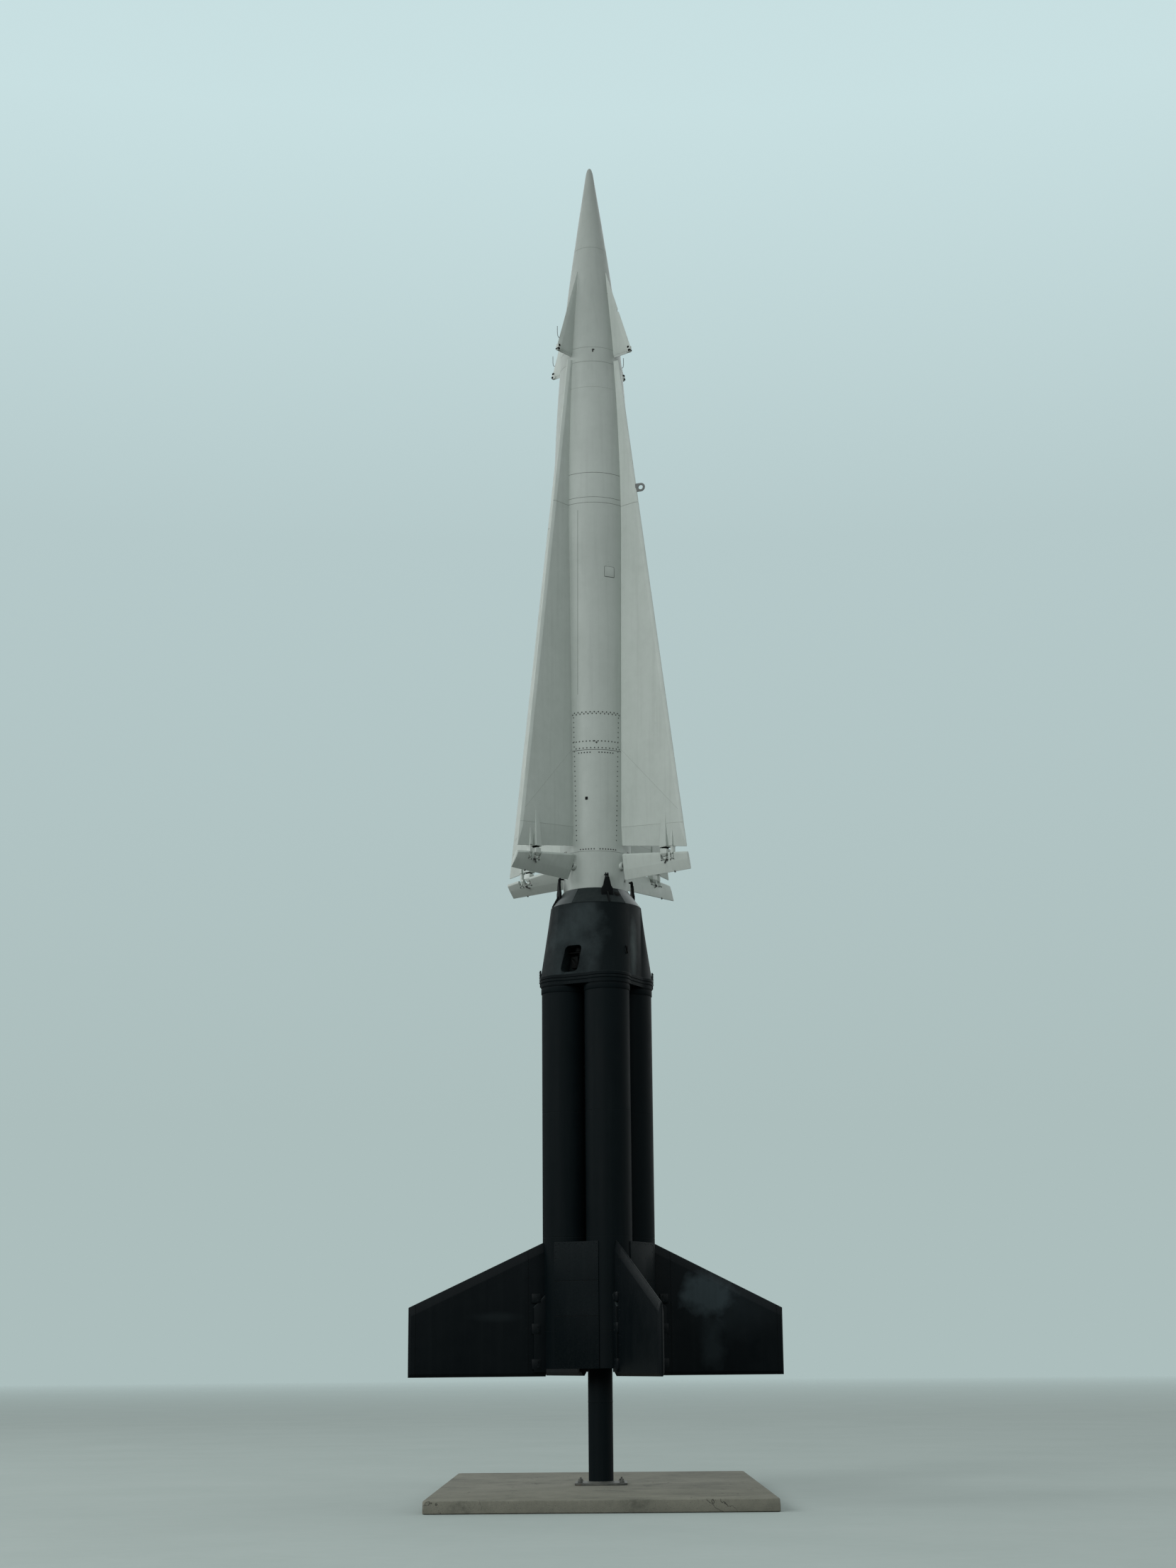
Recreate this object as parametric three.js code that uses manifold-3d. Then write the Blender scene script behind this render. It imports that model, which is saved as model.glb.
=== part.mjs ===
// A two-stage rocket on a display post: a slender winged upper stage on a booster of four tubes,
// held up by a pipe post that stands on a concrete pad. Millimetres, +Z up, the origin in the
// middle of the pad's underside. The front is -Y.
import * as THREE from "three";
import { mergeVertices } from "three/addons/utils/BufferGeometryUtils.js";
import Module from "manifold-3d";

const wasm = await Module();
wasm.setup();

// Driving dimensions. Heights are above the pad's top face.

// Faces that rest on each other keep this gap.
const SEAT = 0.3;

const PAD = { wide: 2800, deep: 4800, thick: 100 };
const BASE_PLATE = { side: 460, thick: 20 };
const POST = { radius: 109.5, top: 1990, segments: 32 };
const POST_WEB = { thick: 20, bottom: 1040, top: 1940 };

// Azimuth of the first fin and the first wing, from the front towards +X.
const BOOSTER_TURN = 17;
const WING_TURN = 49.6;

const TUBE = { radius: 205, centre: 315, bottom: 990, top: 4398, segments: 32 };
const TUBE_COLLAR = { radius: 211, height: 62 };
const TUBE_SKIRT = { bore: 193, depth: 320 };
const NOZZLE = { throat: 72, exit: 160, wall: 9, neck: 40, bottom: 1004, segments: 24 };
const SHROUD = { thick: 8, bottom: 990, top: 2085 };

const BOOSTER_FIN = {
  root: 500, tip: 1750, bottom: 925, tipTop: 1520, sweepDrop: 0.4626, rootTop: 2083,
  thick: 46, edge: 12, bevel: 90,
};
const FIN_FITTING = { inner: 500, shoulder: 560, outer: 622, top: 1685, elbow: 1520, bottom: 960, thick: 84 };

const ADAPTER = {
  bottom: 4490.3, shoulder: 5147, rim: 5300, rimRadius: 305, shoulderRadius: 421,
  lobeRadius: 215, flat: 410,
};
const FLANGE = { bottom: 4398.3, ledge: 4436, top: 4490, lobeRadius: 216, flat: 418, ledgeGrowth: 6 };
const ACCESS_PORT = { azimuth: -28, across: -42, bottom: 4510, top: 4752, width: 165, corner: 45, depth: 150 };
const SIGHT_SLOT = { azimuth: 37, bottom: 4668, top: 4738, width: 30, depth: 60 };
const LOBE_STEPS = 10;
const FLAT_STEPS = 5;

const HOOK = {
  inner: 333, outer: 367, foot: 5200, flare: 5285, waist: 5312, shoulder: 5391, top: 5434,
  halfFoot: 55, halfWaist: 34, halfShoulder: 28, prongIn: 7, prongOut: 19,
};
const HOOK_RIB = { half: 12, outer: 447, bottom: 5113 };
const HOOK_TOOTH = { inner: 290, bottom: 5404, top: 5428 };

// The upper stage's body: an ogive nose, a straight taper, and a steeper one at the tail.
const BODY = {
  radius: 376, apex: 12800, ogive: 3950, taperEnd: 5655, taperRadius: 332, tail: 5300.3, tailRadius: 300,
  segments: 48,
};
const NOSE_STUB = { radius: 25, tip: 18, bottom: 12684, top: 12783, chamfer: 12 };

// Each section of the body: its name, its lower and upper seam, and its rings between them.
const BODY_SECTIONS = [
  { name: "tail_section", from: BODY.tail, to: 5650, rings: 1 },
  { name: "aft_body", from: 5650, to: 6970, rings: 2 },
  { name: "centre_body", from: 6970, to: 9052, rings: 3 },
  { name: "mid_body", from: 9052, to: 10283, rings: 3 },
  { name: "fore_body", from: 10283, to: 11840, rings: 5 },
];

const WING = {
  inner: 240, apexTop: 10598, apexRadius: 352, apexCorner: 10585, tip: 1092, tipHeight: 5593,
  rootHeight: 5722, thick: 38, edge: 8, noseBevel: 85, tailBevel: 40,
};
const FORE_FIN = {
  inner: 120, rootHeight: 11812, tip: 500, tipTop: 10702, tipBottom: 10624, thick: 22, edge: 5,
  noseBevel: 16, tailBevel: 16,
};
const FORE_FIN_TIP = { inner: 468, outer: 512, bottom: 10630, top: 10692, thick: 34 };
const LIFTING_LUG = { height: 9200, radius: 43, hole: 22, thick: 18, stand: 44, foot: 46 };

const HINGE_HEIGHT = 5515;
const ELEVON = {
  inner: 350, innerTop: 5631, tipTop: 5543, tip: 1103, tailTip: 1124, bottom: 5382,
  thick: 32, edge: 7, noseBevel: 24, tailBevel: 95,
};
const ELEVON_NOTCH = { inner: 790, outer: 966, bottom: 5474 };
const ELEVON_SHAFT = { radius: 14, pin: 9 };
const PIVOT_BOSS = { radius: 34, face: 340 };

// The hinge arms on each wing: where each lies along the span, how high it starts on the wing,
// how far it stands out at the wing's rear edge, and the radius of its barrel.
const HINGE_ARMS = [
  { inner: 803, outer: 880, start: 5985, proud: 50, barrel: 27 },
  { inner: 914, outer: 944, start: 5795, proud: 36, barrel: 24 },
];
const ARM_TOP = 5640;
const PIN_PLAY = 0.5;

// How far each elevon hangs from straight at rest, in degrees about its outward hinge axis.
const WINGS = [
  { name: "front_right", quarter: 0, elevonDroop: 6 },
  { name: "back_right", quarter: 1, elevonDroop: -15 },
  { name: "back_left", quarter: 2, elevonDroop: -43 },
  { name: "front_left", quarter: 3, elevonDroop: -20 },
];
const QUARTERS = [
  { name: "front", quarter: 0 },
  { name: "right", quarter: 1 },
  { name: "back", quarter: 2 },
  { name: "left", quarter: 3 },
];

const FINISHES = {
  concrete: { color: 0x9a978c, roughness: 0.92, metalness: 0 },
  blackPaint: { color: 0x1d2224, roughness: 0.42, metalness: 0.1 },
  greyPaint: { color: 0xa9b2ab, roughness: 0.5, metalness: 0.05 },
  nozzleSteel: { color: 0x3b3a38, roughness: 0.6, metalness: 0.7 },
};

// Shapes.

const radians = (degrees) => THREE.MathUtils.degToRad(degrees);

/** Closed triangles as a solid that can be joined and cut. */
function solidOf(geometry) {
  const plain = geometry.index ? geometry.toNonIndexed() : geometry.clone();
  plain.deleteAttribute("normal");
  plain.deleteAttribute("uv");
  const merged = mergeVertices(plain, 1e-3);
  const index = merged.index.array;
  const kept = [];
  for (let i = 0; i < index.length; i += 3) {
    const [a, b, c] = [index[i], index[i + 1], index[i + 2]];
    if (a !== b && b !== c && a !== c) kept.push(a, b, c);
  }
  return new wasm.Manifold(
    new wasm.Mesh({
      numProp: 3,
      vertProperties: merged.attributes.position.array,
      triVerts: new Uint32Array(kept),
    }),
  );
}

function geometryOf(solid) {
  const mesh = solid.getMesh();
  return new THREE.BufferGeometry()
    .setAttribute("position", new THREE.BufferAttribute(new Float32Array(mesh.vertProperties), 3))
    .setIndex(new THREE.BufferAttribute(new Uint32Array(mesh.triVerts), 1));
}

const joined = (...geometries) => geometryOf(geometries.map(solidOf).reduce((all, next) => all.add(next)));
const cut = (geometry, ...tools) =>
  geometryOf(tools.map(solidOf).reduce((left, tool) => left.subtract(tool), solidOf(geometry)));

/** A solid of revolution about Z from [radius, height] pairs, bottom first. */
function turned(profile, segments) {
  const points = profile.map(([radius, height]) => new THREE.Vector2(radius, height));
  return new THREE.LatheGeometry(points, segments).rotateX(Math.PI / 2);
}

/** A plate in the plane through the axis: an outline of [radius, height] pairs, of a thickness. */
function radialPlate(outline, thick) {
  const shape = new THREE.Shape(outline.map(([radius, height]) => new THREE.Vector2(radius, height)));
  return new THREE.ExtrudeGeometry(shape, { depth: thick, bevelEnabled: false })
    .rotateX(Math.PI / 2)
    .translate(0, thick / 2, 0);
}

/** A plate across the radius: an outline of [sideways, height] pairs, between two radii. */
function crossPlate(outline, inner, outer) {
  const shape = new THREE.Shape(outline.map(([side, height]) => new THREE.Vector2(side, height)));
  return new THREE.ExtrudeGeometry(shape, { depth: outer - inner, bevelEnabled: false })
    .rotateX(Math.PI / 2)
    .rotateZ(Math.PI / 2)
    .translate(inner, 0, 0);
}

/** A box from its two corners. */
function block(low, high) {
  const size = high.map((value, i) => value - low[i]);
  const middle = high.map((value, i) => (value + low[i]) / 2);
  return new THREE.BoxGeometry(...size).translate(...middle);
}

/** A round bar along the radius. */
function radialBar(radius, inner, outer, height) {
  return new THREE.CylinderGeometry(radius, radius, outer - inner, 20)
    .rotateZ(Math.PI / 2)
    .translate((inner + outer) / 2, 0, height);
}

/** The corners of an outline moved inwards, each edge by its own inset. */
function insetOutline(outline, insets) {
  const count = outline.length;
  const lines = outline.map(([x, y], i) => {
    const [nextX, nextY] = outline[(i + 1) % count];
    const length = Math.hypot(nextX - x, nextY - y);
    const along = [(nextX - x) / length, (nextY - y) / length];
    return { x: x - along[1] * insets[i], y: y + along[0] * insets[i], along };
  });
  return lines.map((line, i) => {
    const before = lines[(i + count - 1) % count];
    const cross = before.along[0] * line.along[1] - before.along[1] * line.along[0];
    const reach = ((line.x - before.x) * line.along[1] - (line.y - before.y) * line.along[0]) / cross;
    return [before.x + before.along[0] * reach, before.y + before.along[1] * reach];
  });
}

/**
 * A fin or wing in the plane through the axis. The outline of [radius, height] pairs runs
 * anticlockwise, seen from -Y, and each of its edges is bevelled over its own width.
 */
function blade(outline, bevels, thick, edge) {
  const inner = insetOutline(outline, bevels);
  const flat = THREE.ShapeUtils.triangulateShape(inner.map(([x, y]) => new THREE.Vector2(x, y)), []);
  const at = ([x, z], y) => new THREE.Vector3(x, y, z);
  const points = [];
  const quad = (a, b, c, d) => points.push(a, b, c, a, c, d);
  for (const [a, b, c] of flat) {
    points.push(at(inner[a], -thick / 2), at(inner[b], -thick / 2), at(inner[c], -thick / 2));
    points.push(at(inner[a], thick / 2), at(inner[c], thick / 2), at(inner[b], thick / 2));
  }
  outline.forEach((corner, i) => {
    const next = (i + 1) % outline.length;
    const following = outline[next];
    quad(at(corner, -edge / 2), at(following, -edge / 2), at(inner[next], -thick / 2), at(inner[i], -thick / 2));
    quad(at(corner, edge / 2), at(inner[i], thick / 2), at(inner[next], thick / 2), at(following, edge / 2));
    quad(at(corner, -edge / 2), at(corner, edge / 2), at(following, edge / 2), at(following, -edge / 2));
  });
  return new THREE.BufferGeometry().setFromPoints(points);
}

/** A fairing on both faces of a wing that rises from nothing at its top to its full stand-off. */
function doubleWedge({ inner, outer, start, proud }) {
  const slope = [
    [0, start],
    [-proud, ARM_TOP],
    [proud, ARM_TOP],
  ];
  return crossPlate(slope, inner, outer);
}

/**
 * The outline round four tubes, anticlockwise from above: a round lobe over each tube and a flat
 * between each two. A lobe of radius R about the tube's centre meets the flat where both have the
 * same distance along the flat's direction.
 */
function lobedOutline(lobeRadius, flat) {
  const meet = 45 + THREE.MathUtils.radToDeg(Math.acos((flat - TUBE.centre * Math.SQRT1_2) / lobeRadius));
  const points = [];
  for (let quarter = 0; quarter < 4; quarter += 1) {
    const turn = radians(90 * quarter);
    const lobe = [];
    for (let step = 0; step <= LOBE_STEPS; step += 1) {
      const angle = radians(-meet + (2 * meet * step) / LOBE_STEPS);
      const point = new THREE.Vector2(TUBE.centre + lobeRadius * Math.cos(angle), lobeRadius * Math.sin(angle));
      lobe.push(point.rotateAround(new THREE.Vector2(), turn));
    }
    const end = lobe.at(-1);
    const nextStart = lobe[0].clone().rotateAround(new THREE.Vector2(), Math.PI / 2);
    points.push(...lobe);
    for (let step = 1; step < FLAT_STEPS; step += 1) points.push(end.clone().lerp(nextStart, step / FLAT_STEPS));
  }
  return points;
}

/** A solid through sections of { height, points }, bottom first, all with the same count of points. */
function lofted(sections) {
  const points = [];
  const at = (section, i) => {
    const point = section.points[i % section.points.length];
    return new THREE.Vector3(point.x, point.y, section.height);
  };
  const count = sections[0].points.length;
  const last = sections.at(-1);
  for (let i = 0; i < count; i += 1) {
    points.push(new THREE.Vector3(0, 0, sections[0].height), at(sections[0], i + 1), at(sections[0], i));
    points.push(new THREE.Vector3(0, 0, last.height), at(last, i), at(last, i + 1));
    sections.slice(1).forEach((upper, k) => {
      const lower = sections[k];
      points.push(at(lower, i), at(lower, i + 1), at(upper, i + 1));
      points.push(at(lower, i), at(upper, i + 1), at(upper, i));
    });
  }
  return new THREE.BufferGeometry().setFromPoints(points);
}

/** The ring of a radius whose points lie in the same directions as those of an outline. */
const ringLike = (outline, radius) => outline.map((point) => point.clone().setLength(radius));

// The scene graph: the display stands on the pad, and fins and wings on turned mounts.

const model = new THREE.Group();
const onPad = new THREE.Group();
onPad.position.z = PAD.thick;
model.add(onPad);

/** A frame whose X points outwards at an azimuth from the front towards +X. */
function mountAt(azimuth) {
  const mount = new THREE.Group();
  mount.rotation.z = radians(azimuth - 90);
  onPad.add(mount);
  return mount;
}

function addMesh(parent, name, geometry, finish) {
  const mesh = new THREE.Mesh(geometry, new THREE.MeshStandardMaterial(FINISHES[finish]));
  mesh.name = name;
  parent.add(mesh);
  return mesh;
}

// The stand.

function pad() {
  return block([-PAD.wide / 2, -PAD.deep / 2, 0], [PAD.wide / 2, PAD.deep / 2, PAD.thick]);
}

function basePlate() {
  const half = BASE_PLATE.side / 2;
  return block([-half, -half, SEAT], [half, half, BASE_PLATE.thick]);
}

/** The pipe, with four webs that reach out between the tubes to the shroud's panels. */
function post() {
  const foot = BASE_PLATE.thick + SEAT;
  const pipe = turned([[0, foot], [POST.radius, foot], [POST.radius, POST.top], [0, POST.top]], POST.segments);
  const reach = TUBE.centre * Math.SQRT1_2 + TUBE.radius;
  const half = POST_WEB.thick / 2;
  const web = () => block([-reach, -half, POST_WEB.bottom], [reach, half, POST_WEB.top]);
  return joined(pipe, web().rotateZ(radians(45)), web().rotateZ(radians(-45)));
}

// The booster.

/** A motor tube: closed at the top, with a collar there and an open skirt round the nozzle. */
function boosterTube() {
  const roof = TUBE.bottom + TUBE_SKIRT.depth;
  const collar = TUBE.top - TUBE_COLLAR.height;
  const profile = [
    [0, roof],
    [TUBE_SKIRT.bore, roof],
    [TUBE_SKIRT.bore, TUBE.bottom],
    [TUBE.radius, TUBE.bottom],
    [TUBE.radius, collar],
    [TUBE_COLLAR.radius, collar],
    [TUBE_COLLAR.radius, TUBE.top],
    [0, TUBE.top],
  ];
  return turned(profile, TUBE.segments).translate(TUBE.centre, 0, 0);
}

/** A bell open at its lower end, hung from the roof of the tube's skirt. */
function nozzle() {
  const roof = TUBE.bottom + TUBE_SKIRT.depth - SEAT;
  const { throat, exit, wall, bottom, neck } = NOZZLE;
  const profile = [
    [0, roof - neck],
    [throat - wall, roof - neck],
    [exit - wall, bottom],
    [exit, bottom],
    [throat, roof - neck],
    [throat, roof],
    [0, roof],
  ];
  return turned(profile, NOZZLE.segments).translate(TUBE.centre, 0, 0);
}

/** A flat panel that closes the aft gap between two tubes, tangent to both. */
function shroudPanel() {
  const face = TUBE.centre * Math.SQRT1_2 + TUBE.radius + SEAT;
  const half = TUBE.centre * Math.SQRT1_2;
  return block([face, -half, SHROUD.bottom], [face + SHROUD.thick, half, SHROUD.top]);
}

/** A booster fin with its root fitting on both faces, cut to sit on its tube. */
function boosterFin() {
  const f = BOOSTER_FIN;
  const top = f.rootTop + (TUBE.centre + TUBE.radius - f.root) * f.sweepDrop;
  const outline = [
    [f.root, f.bottom],
    [f.tip, f.bottom],
    [f.tip, f.tipTop],
    [f.root, top],
  ];
  const plate = blade(outline, [f.bevel, f.bevel / 2, f.bevel, 0], f.thick, f.edge);
  const g = FIN_FITTING;
  const fitting = [
    [g.inner, g.bottom],
    [g.outer, g.bottom],
    [g.outer, g.elbow],
    [g.shoulder, g.top],
    [g.inner, g.top],
  ];
  const tube = new THREE.CylinderGeometry(TUBE.radius + SEAT, TUBE.radius + SEAT, 2 * top, TUBE.segments)
    .rotateX(Math.PI / 2)
    .rotateZ(Math.PI / 2)
    .translate(TUBE.centre, 0, 0);
  return cut(joined(plate, radialPlate(fitting, g.thick)), tube);
}

/** The band at the head of the tubes, with a wider ledge round its upper half. */
function flange() {
  const lower = lobedOutline(FLANGE.lobeRadius, FLANGE.flat);
  const upper = lobedOutline(FLANGE.lobeRadius + FLANGE.ledgeGrowth, FLANGE.flat + FLANGE.ledgeGrowth);
  return lofted([
    { height: FLANGE.bottom, points: lower },
    { height: FLANGE.ledge, points: lower },
    { height: FLANGE.ledge + FLANGE.ledgeGrowth, points: upper },
    { height: FLANGE.top, points: upper },
  ]);
}

/** The outside of the adapter, grown outwards where it is used as a cutting tool. */
function adapterBody(growth) {
  const lobes = lobedOutline(ADAPTER.lobeRadius + growth, ADAPTER.flat + growth);
  return lofted([
    { height: ADAPTER.bottom, points: lobes },
    { height: ADAPTER.shoulder, points: ringLike(lobes, ADAPTER.shoulderRadius + growth) },
    { height: ADAPTER.rim + growth, points: ringLike(lobes, ADAPTER.rimRadius + growth) },
  ]);
}

/** The adapter between the tubes and the upper stage, with its access port and sight slot. */
function adapter() {
  const p = ACCESS_PORT;
  const half = p.width / 2;
  const portShape = [];
  const centres = [
    [p.across + half - p.corner, p.bottom + p.corner, -90],
    [p.across + half - p.corner, p.top - p.corner, 0],
    [p.across - half + p.corner, p.top - p.corner, 90],
    [p.across - half + p.corner, p.bottom + p.corner, 180],
  ];
  for (const [side, height, start] of centres)
    for (let step = 0; step <= 4; step += 1) {
      const angle = radians(start + 22.5 * step);
      portShape.push([side + p.corner * Math.cos(angle), height + p.corner * Math.sin(angle)]);
    }
  const reach = ADAPTER.shoulderRadius + TUBE.radius;
  const floor = ADAPTER.flat - p.depth;
  const port = crossPlate(portShape, floor, reach).rotateZ(radians(p.azimuth - BOOSTER_TURN));
  const s = SIGHT_SLOT;
  const slotMiddle = TUBE.centre + ADAPTER.lobeRadius - s.depth;
  const slot = block([slotMiddle - s.depth, -s.width / 2, s.bottom], [reach, s.width / 2, s.top]);
  return cut(adapterBody(0), port, slot.rotateZ(radians(s.azimuth - BOOSTER_TURN)));
}

/** A release hook: a forked upright with a tooth against the tail, on a rib down the adapter. */
function releaseHook() {
  const h = HOOK;
  const half = [
    [h.halfFoot, h.foot],
    [h.halfFoot, h.flare],
    [h.halfWaist, h.waist],
    [h.halfShoulder, h.shoulder],
    [h.prongOut, h.shoulder],
    [h.prongOut, h.top],
    [h.prongIn, h.top],
    [h.prongIn, h.shoulder],
  ];
  const otherHalf = half.map(([side, height]) => [-side, height]).reverse();
  const upright = crossPlate([...half, ...otherHalf], h.inner, h.outer);
  const r = HOOK_RIB;
  const rib = radialPlate(
    [
      [h.inner + 4, r.bottom],
      [r.outer, r.bottom],
      [r.outer, r.bottom + 16],
      [h.outer + 16, h.flare - 34],
      [h.inner + 4, h.flare - 20],
    ],
    2 * r.half,
  );
  const t = HOOK_TOOTH;
  const tooth = (side) =>
    block([t.inner, Math.min(side * h.prongIn, side * h.prongOut), t.bottom],
      [h.inner + 6, Math.max(side * h.prongIn, side * h.prongOut), t.top]);
  return cut(joined(upright, rib, tooth(1), tooth(-1)), adapterBody(SEAT), bodyTool(BOOSTER_TURN));
}

// The upper stage.

/** The body's radius at a height: straight tapers below, and an ogive's arc above them. */
function bodyRadius(height) {
  const b = BODY;
  const ogiveBase = b.apex - b.ogive;
  const { mapLinear } = THREE.MathUtils;
  if (height < b.taperEnd) return mapLinear(height, b.tail, b.taperEnd, b.tailRadius, b.taperRadius);
  if (height < ogiveBase) return mapLinear(height, b.taperEnd, ogiveBase, b.taperRadius, b.radius);
  const arc = (b.radius ** 2 + b.ogive ** 2) / (2 * b.radius);
  return Math.sqrt(arc ** 2 - (height - ogiveBase) ** 2) + b.radius - arc;
}

/** [radius, height] pairs up the body between two seams, with even rings between them. */
function bodyProfile(from, to, rings, growth = 0) {
  const profile = [];
  for (let i = 0; i <= rings; i += 1) {
    const height = from + ((to - from) * i) / rings;
    profile.push([bodyRadius(height) + growth, height]);
  }
  return profile;
}

/** The whole body below the nose, grown by the seat, turned as a mount at an azimuth sees it. */
function bodyTool(azimuth) {
  const profile = BODY_SECTIONS.flatMap(({ from, to, rings }) => bodyProfile(from, to, rings, SEAT));
  const ends = [[0, BODY_SECTIONS[0].from], ...profile, [0, BODY_SECTIONS.at(-1).to]];
  return turned(ends, BODY.segments).rotateZ(radians(90 - azimuth));
}

function bodySection({ from, to, rings }) {
  const profile = [[0, from], ...bodyProfile(from, to - SEAT, rings), [0, to - SEAT]];
  return turned(profile, BODY.segments);
}

/** The tail, with a round boss at each elevon's inner pivot. */
function tailSection(section) {
  const boss = (wing) =>
    radialBar(PIVOT_BOSS.radius, BODY.tailRadius / 2, PIVOT_BOSS.face, HINGE_HEIGHT)
      .rotateZ(radians(WING_TURN + 90 * wing.quarter - 90));
  return joined(bodySection(section), ...WINGS.map(boss));
}

function noseCone() {
  const n = NOSE_STUB;
  const profile = [
    [0, BODY_SECTIONS.at(-1).to],
    ...bodyProfile(BODY_SECTIONS.at(-1).to, n.bottom, 5),
    [n.radius, n.bottom],
    [n.radius, n.top - n.chamfer],
    [n.tip, n.top],
    [0, n.top],
  ];
  return turned(profile, BODY.segments);
}

/** A forward fin with the fitting at its tip. */
function foreFin() {
  const f = FORE_FIN;
  const outline = [
    [f.inner, f.tipBottom],
    [f.tip, f.tipBottom],
    [f.tip, f.tipTop],
    [f.inner, f.rootHeight],
  ];
  const plate = blade(outline, [f.tailBevel, f.tailBevel / 2, f.noseBevel, 0], f.thick, f.edge);
  const t = FORE_FIN_TIP;
  const fitting = block([t.inner, -t.thick / 2, t.bottom], [t.outer, t.thick / 2, t.top]);
  return cut(joined(plate, fitting), bodyTool(WING_TURN));
}

/** A long delta wing with the two hinge arms that carry its elevon. */
function mainWing() {
  const w = WING;
  const outline = [
    [w.inner, w.rootHeight],
    [w.tip, w.tipHeight],
    [w.apexRadius, w.apexCorner],
    [w.inner, w.apexTop],
  ];
  const plate = blade(outline, [w.tailBevel, w.noseBevel, w.tailBevel / 4, 0], w.thick, w.edge);
  const arms = HINGE_ARMS.flatMap((arm) => [
    doubleWedge(arm),
    block([arm.inner, -arm.barrel, HINGE_HEIGHT], [arm.outer, arm.barrel, ARM_TOP + arm.barrel]),
    radialBar(arm.barrel, arm.inner, arm.outer, HINGE_HEIGHT),
  ]);
  const bore = radialBar(ELEVON_SHAFT.pin + PIN_PLAY, ELEVON_NOTCH.inner, ELEVON_NOTCH.outer, HINGE_HEIGHT);
  return cut(joined(plate, ...arms), bore, bodyTool(WING_TURN));
}

/** An elevon about its hinge: notched round the wing's arms, with the pin through them. */
function elevon() {
  const e = ELEVON;
  const outline = [
    [e.inner, e.bottom],
    [e.tailTip, e.bottom],
    [e.tip, e.tipTop],
    [e.inner, e.innerTop],
  ];
  const plate = blade(outline, [e.tailBevel, e.noseBevel / 2, e.noseBevel, 0], e.thick, e.edge);
  const n = ELEVON_NOTCH;
  const notch = block([n.inner, -e.thick, n.bottom], [n.outer, e.thick, e.innerTop]);
  const pin = radialBar(ELEVON_SHAFT.pin, n.inner - 12, n.outer + 12, HINGE_HEIGHT);
  const shaft = radialBar(ELEVON_SHAFT.radius, PIVOT_BOSS.face + SEAT, e.inner + 40, HINGE_HEIGHT);
  return joined(cut(plate, notch), pin, shaft).translate(0, 0, -HINGE_HEIGHT);
}

/** A ring lug that stands on the leading edge of a wing. */
function liftingLug() {
  const l = LIFTING_LUG;
  const w = WING;
  const edgeSlope = (w.tip - w.apexRadius) / (w.apexCorner - w.tipHeight);
  const edgeRadius = w.apexRadius + (w.apexCorner - l.height) * edgeSlope;
  const shape = new THREE.Shape();
  shape.moveTo(-l.stand + SEAT, -l.foot);
  shape.absarc(0, 0, l.radius, radians(-90), radians(90), false);
  shape.lineTo(-l.stand + SEAT, l.foot);
  const plate = new THREE.ExtrudeGeometry(shape, { depth: l.thick, bevelEnabled: false, curveSegments: 10 })
    .rotateX(Math.PI / 2)
    .translate(0, l.thick / 2, 0);
  const hole = new THREE.CylinderGeometry(l.hole, l.hole, 2 * l.thick, 20);
  return cut(plate, hole)
    .translate(l.stand, 0, 0)
    .rotateY(-Math.atan(edgeSlope))
    .translate(edgeRadius, 0, l.height);
}

// The object.

addMesh(model, "pad", pad(), "concrete");
addMesh(onPad, "base_plate", basePlate(), "blackPaint");

const boosterMount = mountAt(BOOSTER_TURN);
addMesh(boosterMount, "post", post(), "blackPaint");
addMesh(boosterMount, "booster_flange", flange(), "blackPaint");
addMesh(boosterMount, "adapter", adapter(), "blackPaint");

for (const { name, quarter } of QUARTERS) {
  const azimuth = BOOSTER_TURN + 90 * quarter;
  const mount = mountAt(azimuth);
  addMesh(mount, "booster_tube_" + name, boosterTube(), "blackPaint");
  addMesh(mount, "booster_nozzle_" + name, nozzle(), "nozzleSteel");
  addMesh(mount, "booster_fin_" + name, boosterFin(), "blackPaint");
  addMesh(mount, "release_hook_" + name, releaseHook(), "blackPaint");
  addMesh(mountAt(azimuth + 45), "shroud_panel_" + name, shroudPanel(), "blackPaint");
}

for (const section of BODY_SECTIONS) {
  const geometry = section.name === "tail_section" ? tailSection(section) : bodySection(section);
  addMesh(onPad, section.name, geometry, "greyPaint");
}
addMesh(onPad, "nose_cone", noseCone(), "greyPaint");

for (const wing of WINGS) {
  const mount = mountAt(WING_TURN + 90 * wing.quarter);
  addMesh(mount, "fore_fin_" + wing.name, foreFin(), "greyPaint");
  addMesh(mount, "wing_" + wing.name, mainWing(), "greyPaint");
  const flap = addMesh(mount, "elevon_" + wing.name, elevon(), "greyPaint");
  flap.position.z = HINGE_HEIGHT;
  flap.rotation.x = radians(wing.elevonDroop);
  if (wing.name === "front_right") addMesh(mount, "lifting_lug", liftingLug(), "greyPaint");
}

export default model;
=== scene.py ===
import math

import bmesh
import bpy
from mathutils import Matrix, Vector


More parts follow.
